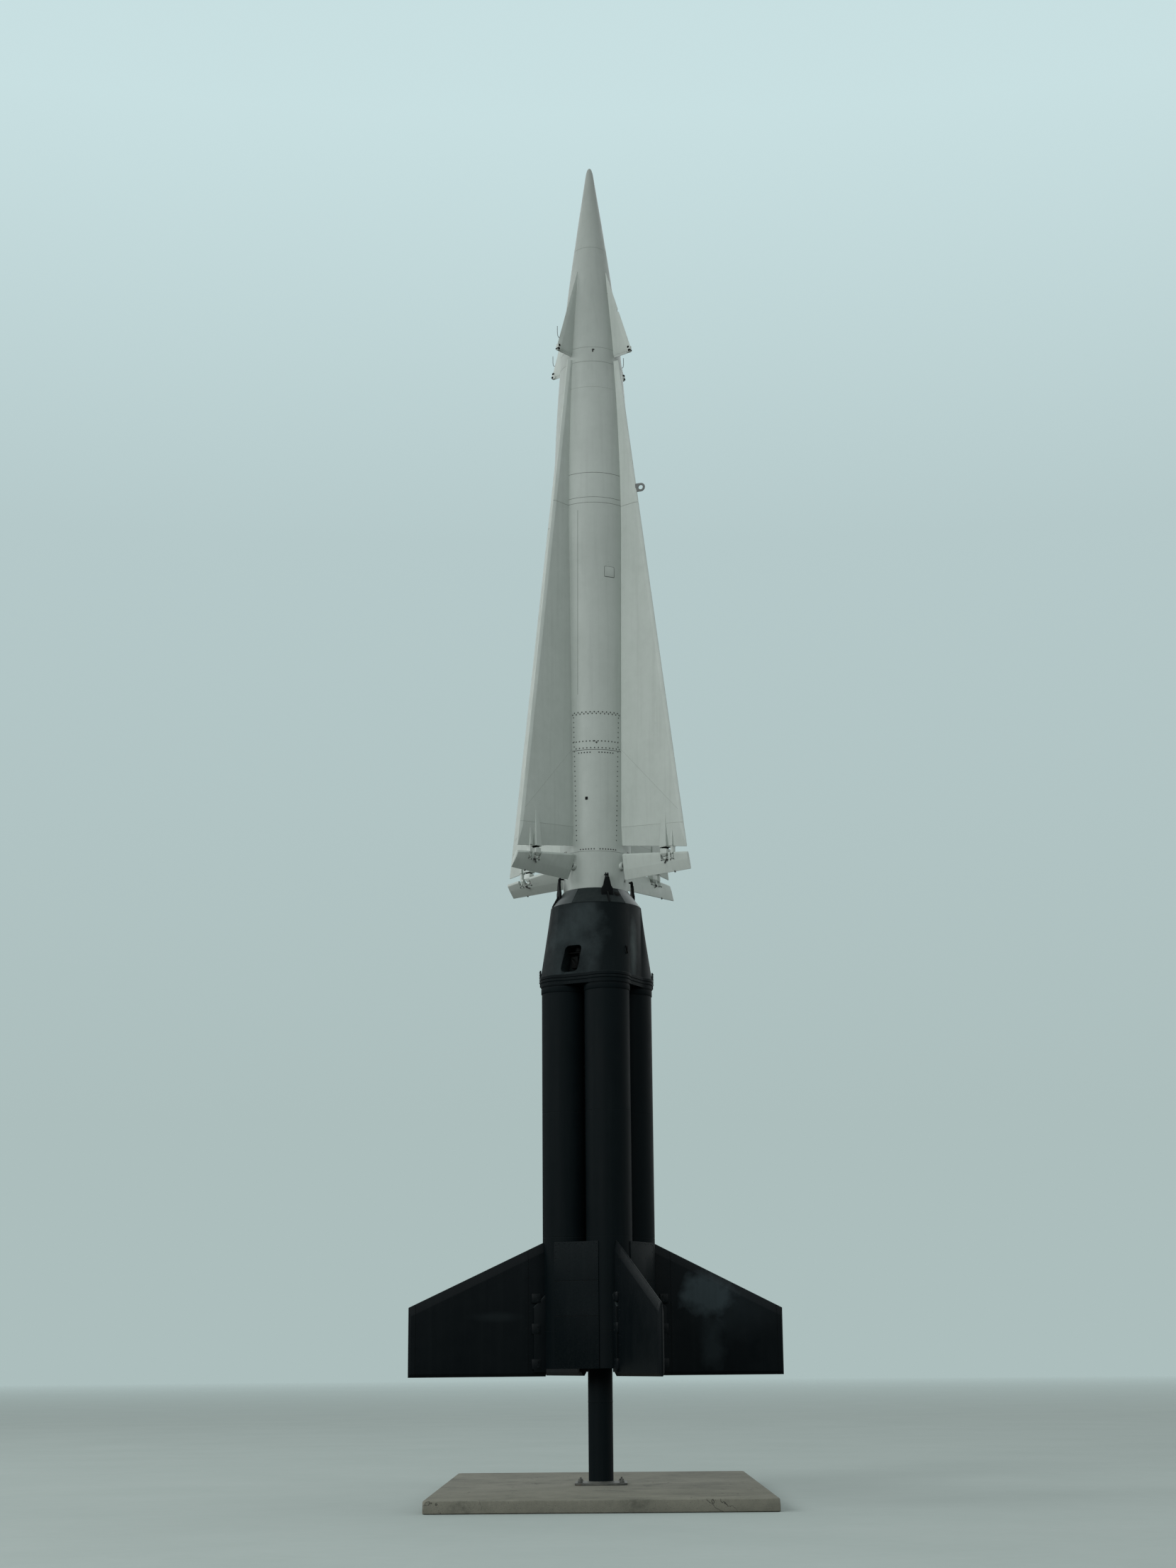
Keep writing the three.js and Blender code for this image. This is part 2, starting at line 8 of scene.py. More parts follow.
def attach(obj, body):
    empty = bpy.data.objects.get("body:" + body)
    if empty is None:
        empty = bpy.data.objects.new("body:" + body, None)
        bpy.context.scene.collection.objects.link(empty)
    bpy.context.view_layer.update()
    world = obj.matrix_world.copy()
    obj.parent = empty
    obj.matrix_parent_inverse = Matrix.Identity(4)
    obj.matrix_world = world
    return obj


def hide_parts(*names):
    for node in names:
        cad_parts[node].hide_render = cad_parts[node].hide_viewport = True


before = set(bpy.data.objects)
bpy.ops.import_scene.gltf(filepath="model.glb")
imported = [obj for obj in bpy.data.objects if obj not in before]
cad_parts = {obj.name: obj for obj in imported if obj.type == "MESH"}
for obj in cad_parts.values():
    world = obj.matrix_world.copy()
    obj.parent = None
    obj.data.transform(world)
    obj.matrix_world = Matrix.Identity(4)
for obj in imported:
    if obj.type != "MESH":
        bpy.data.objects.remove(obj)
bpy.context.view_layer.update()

# Sizes in millimetres, heights above the pad's top face, radii from the rocket's axis.
# A direction round the rocket is an azimuth from the front (-Y) towards +X.
MM = 0.001
PAD_TOP = 0.1
PAD = {"wide": 2800, "deep": 4800, "thick": 100}
# Corners of the pad that have been knocked off: where, and how much of each side is gone.
PAD_CORNERS = ((1, -1, 46, 30), (-1, -1, 26, 44), (1, 1, 30, 22), (-1, 1, 38, 26))
BASE_PLATE = {"side": 460, "bottom": 0.3, "top": 20, "corner": 14, "anchor": 182}
CORNERS = ((-1, -1), (-1, 1), (1, -1), (1, 1))
FOOT_WELD = {"radius": 113, "thick": 6.5}
POST = {"radius": 109.5, "bottom": 20.3, "top": 1990, "weld": 700}
POST_WEB = {"thick": 20, "bottom": 1040, "top": 1940, "reach": 427.7}
BOOSTER_TURN = 17
WING_TURN = 49.6
TUBE = {"radius": 205, "centre": 315, "bottom": 990, "top": 4398, "welds": (1316, 2130, 3240)}
TUBE_COLLAR = {"radius": 211, "height": 62}
TUBE_SKIRT = {"bore": 193, "roof": 1310}
NOZZLE = {"throat": 72, "exit": 160, "wall": 9, "bottom": 1004, "neck": 1269.7, "top": 1309.7,
          "ribs": (1016, 1082, 1150, 1214)}
SHROUD = {"face": 428.04, "thick": 8, "half": 222.74, "bottom": 990, "top": 2085, "seams": (1440, 1745)}
FIN = {"root": 505, "tip": 1750, "bottom": 925, "tip_top": 1520, "slope": 0.4626, "thick": 46, "edge": 12,
       "bevels": (30, 16, 75, 0), "seams": (1690, 668)}
FIN_FITTING = {"outer": 622, "top": 1685, "elbow": 1520, "bottom": 960, "half": 42, "top_half": 27}
# The clevis plates that hold a fin's root: how far out they and their bolts are, their heights, and
# the heights of the bolts.
FIN_LUG = {"inner": 560, "outer": 640, "bolt": 586}
FIN_LUGS = ((985, 1075), (1290, 1380), (1560, 1640))
FIN_BOLTS = (1008, 1052, 1313, 1357, 1580, 1620)
FLANGE = {"bottom": 4398.3, "ledge": 4436, "top": 4490, "lobe": 216, "flat": 418, "growth": 6}
ADAPTER = {"bottom": 4490.3, "shoulder": 5147, "rim": 5300, "rim_radius": 305, "shoulder_radius": 421,
           "lobe": 215, "flat": 410, "outside": 700}
PORT = {"azimuth": -28, "across": -42, "bottom": 4510, "top": 4752, "width": 172, "corner": 42, "lean": 27,
        "floor": 262}
# What shows in the port, beside its middle line: boxes by two corners and the width of their edges, a
# pump by its place and rings, and a pipe and a cable by their thickness and bends.
PORT_BOXES = (("port_box", (261, -62, 4560), (300, 8, 4668), 5),
              ("port_shelf", (261, -76, 4690), (340, 76, 4698), 1.5))
PORT_PUMP = (322, 34, ((26, 4700), (29, 4703), (29, 4735), (20, 4740), (20, 4751)))
PORT_LINES = (("port_pipe", 9, ((318, 40, 4516), (340, 46, 4590), (330, 52, 4650), (322, 40, 4692))),
              ("port_lead", 5, ((312, -30, 4640), (352, -24, 4628), (360, 6, 4590), (330, 20, 4540),
                                (290, 10, 4514))))
SLOT = {"azimuth": 37, "bottom": 4668, "top": 4738, "width": 30, "inner": 410}
SLOT_RIM = {"inner": 13, "outer": 23, "tall": 1.75}
# The cover plate's two ends: azimuth, and the side that is cut away.
COVER_ENDS = ((-32, -1), (40, 1))
HATCH_AZIMUTH = 32
# A hook's half widths go with its flare, waist and shoulder.
HOOK = {"inner": 348, "outer": 367, "foot": 5200, "flare": 5285, "waist": 5312, "shoulder": 5391,
        "top": 5434, "half": 55, "waist_half": 38, "shoulder_half": 20}
HOOK_TOOTH = {"inner": 314, "bottom": 5414, "top": 5425, "near": 4.5, "far": 14.5}
# The rib on a hook's outside, and the corner and normal of its slope.
HOOK_RIB = {"half": 8, "bottom": 5148, "outer": 440, "corner": 428, "normal": (103, 0, 56)}
HOOK_BOLTS = ((-24, 5330), (24, 5330), (-40, 5246), (40, 5246))
BODY = {"radius": 376, "apex": 12800, "ogive": 3950, "taper_end": 5655, "taper_radius": 332, "tail": 5300.3,
        "tail_radius": 300}
SEAM_DEEP = 2.0
LINE_DEEP = 1.6
RING_PITCH = 90
# Seams above this height hardly show.
FAINT_ABOVE = 9380
# Each section of the body: the node it stands for, its lower and upper seam with half the gap's
# width there, and the sunk lines round it between them, each with its width.
SECTIONS = (
    ("tail_section", (5300.5, 1.2), (5640, 1.3), ()),
    ("aft_body", (5640, 1.3), (6964, 0.7), ((6607, 4.5),)),
    ("centre_body", (6964, 0.7), (9053, 1.5), ()),
    ("mid_body", (9053, 1.5), (10266, 0.8), ((9108, 1.2), (9360, 1.8))),
    ("fore_body", (10266, 0.8), (11834, 1.1), ((10545, 1.4), (10700, 1.2))),
)
# The nose cone above its seam, to the blunt tip where its probe is missing: radius and height.
NOSE_RINGS = ((147.5, 11930), (134.5, 12030), (120.5, 12130), (106.5, 12230), (91.5, 12330), (76.5, 12430),
              (62, 12530), (50.5, 12610), (42.5, 12667), (36.5, 12705), (30.5, 12735), (24, 12757),
              (16.5, 12773), (9, 12780), (3, 12782.9), (3, 12771))
# The boss of an elevon's inner pivot: radius, and distance from the rocket's axis.
BOSS_RINGS = ((40, 240), (40, 325), (37, 331), (34, 332), (34, 338), (32, 340), (20, 340), (18, 336))
# Rows of fasteners round the body: height, pitch and first azimuth in degrees.
DARK_ROWS = ((6973, 360 / 56, 0), (6955, 360 / 56, 3.2), (6690, 5.6, 0), (6625, 6.0, 0))
FLUSH_ROWS = ((9072, 7.2, 0), (9034, 7.2, 3.6), (10284, 8.0, 0), (10246, 8.0, 4.0), (11850, 12.0, 0),
              (9340, 7.5, 0))
# Screws in each quarter: height, pitch, first and last azimuth. One more stands alone higher up.
SCREW_ROWS = ((6581, 4.6, -25.4, -6), (6581, 4.6, 6.9, 33), (5659, 4.5, -24.6, -1), (5659, 4.5, 7.4, 37))
LONE_SCREW = (47.6, 11330)
# Columns of rivets in each quarter: azimuths at their top and foot.
RIVET_COLUMNS = ((-34, -31.5), (40.6, 35.8))
# Hatches and covers on the body: azimuth, height, width, height of the piece.
HATCHES = (("service_hatch", 25.2, 8360, 98, 100), ("upper_fitting", 4.2, 10672, 24, 12),
           ("upper_fitting_leg", 3.2, 10656, 11, 22), ("square_cover", -13.5, 6142, 24, 28),
           ("small_cover", 3.1, 6676, 13, 15))
# The slot in the tail section: azimuth, height, width, height, thickness and corner of what covers it.
TAIL_SLOT = (61.5, 5390, 13, 30, 1.0, 5)
# The joint down the centre body's skin: azimuth and height.
SKIN_JOINT = ((-22.0, 8980), (-23.1, 8410), (-25.9, 7150))
WING = {"inner": 300, "apex_radius": 352, "apex_corner": 10585, "apex_top": 10590, "tip": 1092,
        "tip_height": 5593, "root_height": 5713, "thick": 38, "edge": 8, "nose_bevel": 30, "tail_bevel": 180}
# Seams on a wing: a point by radius and height, the way it runs, its width, and the radius it ends at.
WING_SEAMS = (((376, 9050), (1, 0), 4, 2000), ((344, 6630), (519, -530), 2.4, 875),
              ((500, 5870), (700, -60), 2.4, 2000))
# Rows of rivets on a wing: the first, how far out and down the next one is, and how many.
WING_RIVETS = (((420, 9068), (38, 0), 4), ((360, 6644), (27.5, 28.1), 18), ((400, 5895), (36, 3.1), 17))
HINGE_HEIGHT = 5515
ARM_TOP = 5640
HINGE_ARMS = ({"inner": 803, "outer": 880, "start": 5985, "proud": 42, "side": 23, "gap": 12},
              {"inner": 914, "outer": 944, "start": 5795, "proud": 30, "side": 7, "gap": 0})
# The barrel round the hinge pin is as thick as the elevon. The knuckle ends above it.
BARREL = {"radius": 15, "gap": 5, "wide_floor": -2, "knuckle": 16}
PIN = {"inner": 776, "outer": 980}
ELEVON = {"inner": 350, "inner_top": 5631, "tip_top": 5543, "tip": 1103, "tail_tip": 1124, "bottom": 5382,
          "thick": 32, "edge": 7, "nose_bevel": 13, "tail_bevel": 95}
# The horns on an elevon's faces, as points of a bent rod: along the span, off the middle, height.
HORNS = (
    (4.8, ((869, 14, 5507), (868, 24, 5503), (863, 28, 5493), (853, 26, 5481), (842, 21, 5473))),
    (3.4, ((878, 14, 5506), (879, 22, 5502), (878, 25, 5494), (874, 21, 5486))),
    (2.6, ((914, 14, 5504), (913, 21, 5500), (912, 23, 5493), (909, 18, 5488))),
    (2.6, ((946, 14, 5506), (948, 21, 5502), (951, 23, 5496), (955, 18, 5492))),
)
# The pads under the horns: their ends along the span, and their foot.
HORN_PADS = ((863, 885, 5494), (800, 819, 5498))
HORN_PAD_TOP = 5507
FORE_FIN = {"inner": 200, "root_height": 11577, "tip": 500, "tip_top": 10702, "bottom": 10624, "thick": 22,
            "edge": 3, "bevel": 45}
FORE_FIN_TIP = {"inner": 468, "outer": 512, "bottom": 10630, "top": 10692, "half": 15}
# The sockets through a forward fin's tip fitting: radius, distance from the rocket's axis, height.
TIP_SOCKETS = ((12, 489, 10682), (12.5, 499, 10646))
TIP_WIRE = ((504, 10882), (504, 10840), (502, 10800), (494, 10777), (480, 10768), (462, 10764))
# The piece knocked out of the right front fin's leading edge.
CHIP = {"low": 11098, "high": 11150, "deep": 19}
LUG = {"height": 9200, "radius": 43, "hole": 22, "thick": 10, "stand": 44, "foot": 42, "turn": 20}

# How deep a rivet's foot is buried, in metres.
BURIED = 0.001

QUARTERS = (("front", 0), ("right", 90), ("back", 180), ("left", 270))
WINGS = (("front_right", 0), ("back_right", 90), ("back_left", 180), ("front_left", 270))
# How far each elevon stands from straight at rest, in degrees.
DROOPS = {"front_right": 6, "back_right": -15, "back_left": -43, "front_left": -20}

# The camera stands 21.4 m in front of the rocket, at a visitor's eye level, and looks up.
EYE = Vector((0.0, -21.413, 1.134))
YAW, PITCH, ROLL = (math.radians(angle) for angle in (-0.174, 13.967, -0.476))
FOCAL_PIXELS = 3286.8
PHOTO_HEIGHT = 2212
FILM = 36.0


def set_up_camera():
    lens = bpy.data.cameras.new("photo_camera")
    lens.sensor_fit = "AUTO"
    lens.sensor_width = FILM
    lens.lens = FILM * FOCAL_PIXELS / PHOTO_HEIGHT
    lens.clip_end = 600
    camera = bpy.data.objects.new("photo_camera", lens)
    bpy.context.scene.collection.objects.link(camera)
    ahead = Vector((math.sin(YAW) * math.cos(PITCH), math.cos(YAW) * math.cos(PITCH), math.sin(PITCH)))
    level_right = Vector((math.cos(YAW), -math.sin(YAW), 0))
    level_up = level_right.cross(ahead)
    right = math.cos(ROLL) * level_right + math.sin(ROLL) * level_up
    upward = -math.sin(ROLL) * level_right + math.cos(ROLL) * level_up
    turn = Matrix((right, upward, -ahead)).transposed()
    camera.matrix_world = Matrix.Translation(EYE) @ turn.to_4x4()
    bpy.context.scene.camera = camera


set_up_camera()


# The node bench: nodes are added with their settings and wired to what feeds them.

def add(tree, kind, feeds=None, **settings):
    made = tree.nodes.new(kind)
    for key, value in settings.items():
        setattr(made, key, value)
    for key, value in (feeds or {}).items():
        if isinstance(value, bpy.types.NodeSocket):
            tree.links.new(value, made.inputs[key])
        else:
            made.inputs[key].default_value = value
    return made


def blend(tree, mask, first, second):
    """A colour that goes from the first to the second as the mask goes from 0 to 1."""
    mixed = add(tree, "ShaderNodeMix", {0: mask, 6: first, 7: second}, data_type="RGBA")
    return mixed.outputs[2]


def spread(tree, value, from_low, from_high, to_low=0.0, to_high=1.0):
    ranged = add(tree, "ShaderNodeMapRange", {"Value": value, "From Min": from_low, "From Max": from_high,
                                              "To Min": to_low, "To Max": to_high})
    return ranged.outputs[0]


def sums(tree, operation, first, second):
    return add(tree, "ShaderNodeMath", {0: first, 1: second}, operation=operation).outputs[0]


def vectors(tree, operation, first, second=(0, 0, 0), output=0):
    worked = add(tree, "ShaderNodeVectorMath", {0: first, 1: second}, operation=operation)
    return worked.outputs[output]


def tint(tree, base, mask, share, colour):
    """Lays a share of a colour over the base where the mask is."""
    return blend(tree, sums(tree, "MULTIPLY", mask, share), base, colour)


def object_place(tree):
    return add(tree, "ShaderNodeTexCoord").outputs["Object"]


def height_of(tree, place):
    return add(tree, "ShaderNodeSeparateXYZ", {0: place}).outputs["Z"]


def noise(tree, place, scale, detail, roughness=0.5):
    feeds = {"Vector": place, "Scale": scale, "Detail": detail, "Roughness": roughness}
    return add(tree, "ShaderNodeTexNoise", feeds).outputs[0]


def new_group(name, inputs, outputs=("Mask",)):
    group = bpy.data.node_groups.new(name, "ShaderNodeTree")
    for label, value in inputs.items():
        socket = group.interface.new_socket(name=label, in_out="INPUT", socket_type="NodeSocketFloat")
        socket.default_value = value
    for label in outputs:
        group.interface.new_socket(name=label, in_out="OUTPUT", socket_type="NodeSocketFloat")
    return group, group.nodes.new("NodeGroupInput").outputs, group.nodes.new("NodeGroupOutput").inputs


def make_weather_streaks():
    """Runs of weathering down a surface."""
    inputs = {"Scale": 14.0, "Stretch": 0.05, "From": 0.45, "To": 0.75}
    group, given, result = new_group("weather_streaks", inputs)
    squeeze = add(group, "ShaderNodeCombineXYZ", {"X": 1.0, "Y": 1.0, "Z": given["Stretch"]}).outputs[0]
    stretched = vectors(group, "MULTIPLY", object_place(group), squeeze)
    runs = noise(group, stretched, given["Scale"], 6.0, 0.62)
    group.links.new(spread(group, runs, given["From"], given["To"]), result["Mask"])
    return group


def make_grime_patches():
    """Cloudy patches, in two sizes."""
    inputs = {"Scale": 2.0, "Fine Scale": 16.0, "From": 0.4, "To": 0.7}
    group, given, result = new_group("grime_patches", inputs)
    place = object_place(group)
    broad = sums(group, "MULTIPLY", noise(group, place, given["Scale"], 4.0), 0.6)
    small = sums(group, "MULTIPLY", noise(group, place, given["Fine Scale"], 8.0, 0.65), 0.4)
    both = sums(group, "ADD", broad, small)
    group.links.new(spread(group, both, given["From"], given["To"]), result["Mask"])
    return group


def make_fine_grain():
    """The small unevenness of brushed or sprayed paint, and the broad one of thin plate."""
    group, given, result = new_group("fine_grain", {"Scale": 240.0, "Wave Scale": 5.0}, ("Grain", "Wave"))
    place = object_place(group)
    group.links.new(noise(group, place, given["Scale"], 3.0), result["Grain"])
    group.links.new(noise(group, place, given["Wave Scale"], 2.0), result["Wave"])
    return group


def make_edge_wear():
    """Rubbed edges and corners, broken up by noise."""
    group, given, result = new_group("edge_wear", {"From": 0.53, "To": 0.62, "Scale": 60.0})
    pointed = add(group, "ShaderNodeNewGeometry").outputs["Pointiness"]
    corner = spread(group, pointed, given["From"], given["To"])
    broken = spread(group, noise(group, object_place(group), given["Scale"], 6.0), 0.42, 0.62)
    group.links.new(sums(group, "MULTIPLY", corner, broken), result["Mask"])
    return group


def make_dust_settle():
    """Dust that lies on what faces up."""
    group, given, result = new_group("dust_settle", {"From": 0.3, "To": 0.95, "Scale": 30.0})
    facing_up = height_of(group, add(group, "ShaderNodeNewGeometry").outputs["Normal"])
    lying = spread(group, facing_up, given["From"], given["To"])
    uneven = spread(group, noise(group, object_place(group), given["Scale"], 7.0), 0.25, 0.6, 0.35, 1.0)
    group.links.new(sums(group, "MULTIPLY", lying, uneven), result["Mask"])
    return group


def make_painted_light_patch():
    """One cloudy patch of painted light round a point, ragged at its edge."""
    inputs = {"Centre " + axis: 0.0 for axis in "XYZ"}
    inputs.update({"Half " + axis: 1.0 for axis in "XYZ"})
    inputs.update({"Soft": 0.1, "Ragged": 0.45, "Strength": 1.0})
    group, given, result = new_group("painted_light_patch", inputs)
    place = object_place(group)
    feeds = ({axis: given[word + axis] for axis in "XYZ"} for word in ("Centre ", "Half "))
    centre, half = (add(group, "ShaderNodeCombineXYZ", feed).outputs[0] for feed in feeds)
    share = vectors(group, "DIVIDE", vectors(group, "SUBTRACT", place, centre), half)
    far = vectors(group, "LENGTH", share, output="Value")
    cloud = spread(group, noise(group, place, 4.6, 7.0, 0.6), 0.25, 0.75, -1.0, 1.0)
    ragged = sums(group, "ADD", far, sums(group, "MULTIPLY", cloud, given["Ragged"]))
    mask = spread(group, ragged, given["Soft"], 1.2, 1.0, 0.0)
    group.links.new(sums(group, "MULTIPLY", mask, given["Strength"]), result["Mask"])
    return group


WEATHER_STREAKS = make_weather_streaks()
GRIME_PATCHES = make_grime_patches()
FINE_GRAIN = make_fine_grain()
EDGE_WEAR = make_edge_wear()
DUST_SETTLE = make_dust_settle()
PAINTED_LIGHT_PATCH = make_painted_light_patch()


def use(tree, group, **values):
    placed = add(tree, "ShaderNodeGroup", node_tree=group)
    for key, value in values.items():
        placed.inputs[key.replace("_", " ")].default_value = value
    return placed.outputs


def grime(tree, scale, fine_scale, low, high):
    return use(tree, GRIME_PATCHES, Scale=scale, Fine_Scale=fine_scale, From=low, To=high)["Mask"]


def streaks(tree, scale, stretch, low, high):
    return use(tree, WEATHER_STREAKS, Scale=scale, Stretch=stretch, From=low, To=high)["Mask"]


def rubbed(tree, low, high, scale):
    return use(tree, EDGE_WEAR, From=low, To=high, Scale=scale)["Mask"]


def grain(tree, scale, wave_scale):
    return use(tree, FINE_GRAIN, Scale=scale, Wave_Scale=wave_scale)


def new_material(name):
    material = bpy.data.materials.new(name)
    material.use_nodes = True
    return material, material.node_tree, material.node_tree.nodes["Principled BSDF"].inputs


def rough_up(tree, shader, *bumps):
    """Bumps laid over each other, the finest first: each a height, a distance in metres and a strength."""
    target = shader["Normal"]
    for height, distance, strength in bumps:
        bump = add(tree, "ShaderNodeBump", {"Height": height, "Distance": distance, "Strength": strength})
        tree.links.new(bump.outputs[0], target)
        target = bump.inputs["Normal"]


def coat(tree, shader, base, patches, smooth, rough):
    """Wires up the colour, and a roughness that goes with the patches."""
    tree.links.new(base, shader["Base Color"])
    tree.links.new(spread(tree, patches, 0, 1, smooth, rough), shader["Roughness"])


def make_stage_paint(name, clean, faded, streaked, roughness, nose_darkening=0.0):
    """The upper stage's pale grey-green paint: chalky patches, streaks, and soft ripples in the skin."""
    material, tree, shader = new_material(name)
    patches = grime(tree, 1.4, 11.0, 0.36, 0.66)
    base = blend(tree, patches, clean, faded)
    base = tint(tree, base, streaks(tree, 22.0, 0.035, 0.5, 0.82), streaked, (0.23, 0.255, 0.235, 1))
    base = tint(tree, base, streaks(tree, 5.0, 0.12, 0.38, 0.72), 0.16, (0.58, 0.62, 0.60, 1))
    base = tint(tree, base, grime(tree, 60.0, 190.0, 0.62, 0.70), 0.35, (0.13, 0.14, 0.125, 1))
    base = tint(tree, base, rubbed(tree, 0.56, 0.68, 70.0), 0.35, (0.62, 0.66, 0.63, 1))
    if nose_darkening:
        # The paint darkens towards the nose.
        thick = spread(tree, height_of(tree, object_place(tree)), 10.0, 12.6, 0.0, nose_darkening)
        base = blend(tree, thick, base, (0.15, 0.165, 0.15, 1))
    coat(tree, shader, base, patches, roughness - 0.06, roughness + 0.1)
    shader["Specular IOR Level"].default_value = 0.42
    uneven = grain(tree, 320.0, 4.5)
    rough_up(tree, shader, (uneven["Grain"], 0.0004, 0.25), (uneven["Wave"], 0.006, 0.35))
    return material


def lay_painted_light(tree, base, clouds):
    """Patches of painted light: lighter patches that stand in for sheen and highlights.

    A cloud is its centre and half its sizes in metres, its colour and strength, how far out its edge
    begins to fade, and how ragged it is."""
    for centre, reach, shade, strength, soft, ragged in clouds:
        values = {"Strength": strength, "Soft": soft, "Ragged": ragged}
        for axis, middle, half in zip("XYZ", centre, reach):
            values["Centre_" + axis] = middle
            values["Half_" + axis] = half
        base = blend(tree, use(tree, PAINTED_LIGHT_PATCH, **values)["Mask"], base, shade)
    return base


def make_black_paint(name, dark, hazed, roughness, specular, clear=0.0, clouds=(), dusty=0.16):
    """The booster's black paint: hazed by weather, with any patches of painted light it is given, dusty on
    top, greyer where edges rub.
    """
    material, tree, shader = new_material(name)
    patches = grime(tree, 1.1, 7.0, 0.38, 0.68)
    base = lay_painted_light(tree, blend(tree, sums(tree, "MULTIPLY", patches, 0.6), dark, hazed), clouds)
    base = tint(tree, base, streaks(tree, 16.0, 0.05, 0.52, 0.85), 0.3, (0.012, 0.016, 0.017, 1))
    dust = use(tree, DUST_SETTLE, From=0.25, To=0.95, Scale=24.0)["Mask"]
    base = tint(tree, base, dust, dusty, (0.13, 0.145, 0.14, 1))
    base = tint(tree, base, rubbed(tree, 0.56, 0.70, 80.0), 0.35, (0.06, 0.07, 0.07, 1))
    coat(tree, shader, base, patches, roughness, roughness + 0.16)
    shader["Specular IOR Level"].default_value = specular
    shader["Coat Weight"].default_value = clear
    shader["Coat Roughness"].default_value = 0.28
    uneven = grain(tree, 300.0, 4.0)
    rough_up(tree, shader, (uneven["Grain"], 0.0005, 0.3), (uneven["Wave"], 0.008, 0.3))
    return material


def make_metal(name, clean, stained, roughness, metallic=1.0):
    """Bare or heat-stained metal, with fine scratches."""
    material, tree, shader = new_material(name)
    patches = grime(tree, 9.0, 60.0, 0.4, 0.66)
    base = blend(tree, patches, clean, stained)
    base = tint(tree, base, rubbed(tree, 0.54, 0.64, 120.0), 0.6, (0.42, 0.42, 0.40, 1))
    coat(tree, shader, base, patches, roughness, roughness + 0.22)
    shader["Metallic"].default_value = metallic
    rough_up(tree, shader, (grain(tree, 420.0, 30.0)["Grain"], 0.0003, 0.35))
    return material


def make_grime_and_shade(name, dark, light):
    """What gathers in seams and under screw heads; the same dark paint also serves as painted shade in gaps,
    holes and on rear faces.
    """
    material, tree, shader = new_material(name)
    tree.links.new(blend(tree, grime(tree, 7.0, 50.0, 0.35, 0.7), dark, light), shader["Base Color"])
    shader["Roughness"].default_value = 0.85
    shader["Specular IOR Level"].default_value = 0.2
    rough_up(tree, shader, (grain(tree, 500.0, 60.0)["Wave"], 0.0006, 0.5))
    return material


def make_pad_concrete():
    """Cast concrete: tan-grey, with sand and stones showing, stains and hairline cracks."""
    material, tree, shader = new_material("pad_concrete")
    place = object_place(tree)
    patches = grime(tree, 1.6, 13.0, 0.36, 0.66)
    base = blend(tree, patches, (0.225, 0.222, 0.180, 1), (0.150, 0.150, 0.122, 1))
    stones = add(tree, "ShaderNodeTexVoronoi", {"Vector": place, "Scale": 95.0}).outputs
    stone_mask = spread(tree, stones["Distance"], 0.18, 0.36, 1.0, 0.0)
    shade = add(tree, "ShaderNodeSeparateColor", {0: stones["Color"]}).outputs[0]
    stone = blend(tree, shade, (0.07, 0.068, 0.06, 1), (0.30, 0.285, 0.24, 1))
    base = tint(tree, base, stone_mask, 0.55, stone)
    base = tint(tree, base, grime(tree, 3.2, 24.0, 0.56, 0.68), 0.45, (0.055, 0.058, 0.048, 1))
    warp = add(tree, "ShaderNodeTexNoise", {"Vector": place, "Scale": 2.4, "Detail": 5.0}).outputs
    bent = vectors(tree, "ADD", warp["Color"], place)
    cells = add(tree, "ShaderNodeTexVoronoi", {"Vector": bent, "Scale": 0.9}, feature="DISTANCE_TO_EDGE")
    crack = spread(tree, cells.outputs["Distance"], 0.0012, 0.005, 1.0, 0.0)
    crack = sums(tree, "MULTIPLY", crack, spread(tree, warp[0], 0.46, 0.56))
    base = tint(tree, base, crack, 0.85, (0.025, 0.025, 0.022, 1))
    tree.links.new(base, shader["Base Color"])
    shader["Roughness"].default_value = 0.9
    shader["Specular IOR Level"].default_value = 0.25
    rise = sums(tree, "SUBTRACT", sums(tree, "MULTIPLY", stone_mask, 0.35), crack)
    rough_up(tree, shader, (rise, 0.003, 0.6), (grain(tree, 130.0, 6.0)["Grain"], 0.003, 0.6))
    return material


def make_plate_steel():
    """Painted steel at ground level, dusty and splashed with mud."""
    material, tree, shader = new_material("plate_steel")
    patches = grime(tree, 6.0, 40.0, 0.34, 0.62)
    base = blend(tree, patches, (0.115, 0.118, 0.100, 1), (0.045, 0.048, 0.043, 1))
    base = tint(tree, base, grime(tree, 15.0, 90.0, 0.58, 0.68), 0.6, (0.10, 0.055, 0.028, 1))
    coat(tree, shader, base, patches, 0.75, 0.5)
    rough_up(tree, shader, (grain(tree, 180.0, 24.0)["Grain"], 0.0012, 0.5))
    return material


PAINTED_LIGHT_BLACK = (0.034, 0.046, 0.049, 1)
PAINTED_SHEEN_BLUE = (0.034, 0.048, 0.054, 1)
RIDGE_HIGHLIGHT = (0.075, 0.095, 0.095, 1)
# Patches of painted sheen: on the right fin, and a streak on the left one.
FIN_CLOUDS = (((1.24, 0.31, 1.66), (0.42, 0.3, 0.34), PAINTED_SHEEN_BLUE, 0.22, 0.1, 0.3),
              ((0.97, 0.303, 1.75), (0.225, 0.3, 0.19), PAINTED_SHEEN_BLUE, 1.0, 0.62, 0.42),
              ((1.02, 0.31, 1.26), (0.11, 0.2, 0.24), PAINTED_SHEEN_BLUE, 0.34, 0.2, 0.6),
              ((-0.94, -0.29, 1.54), (0.24, 0.3, 0.045), PAINTED_LIGHT_BLACK, 0.2, 0.3, 0.3))
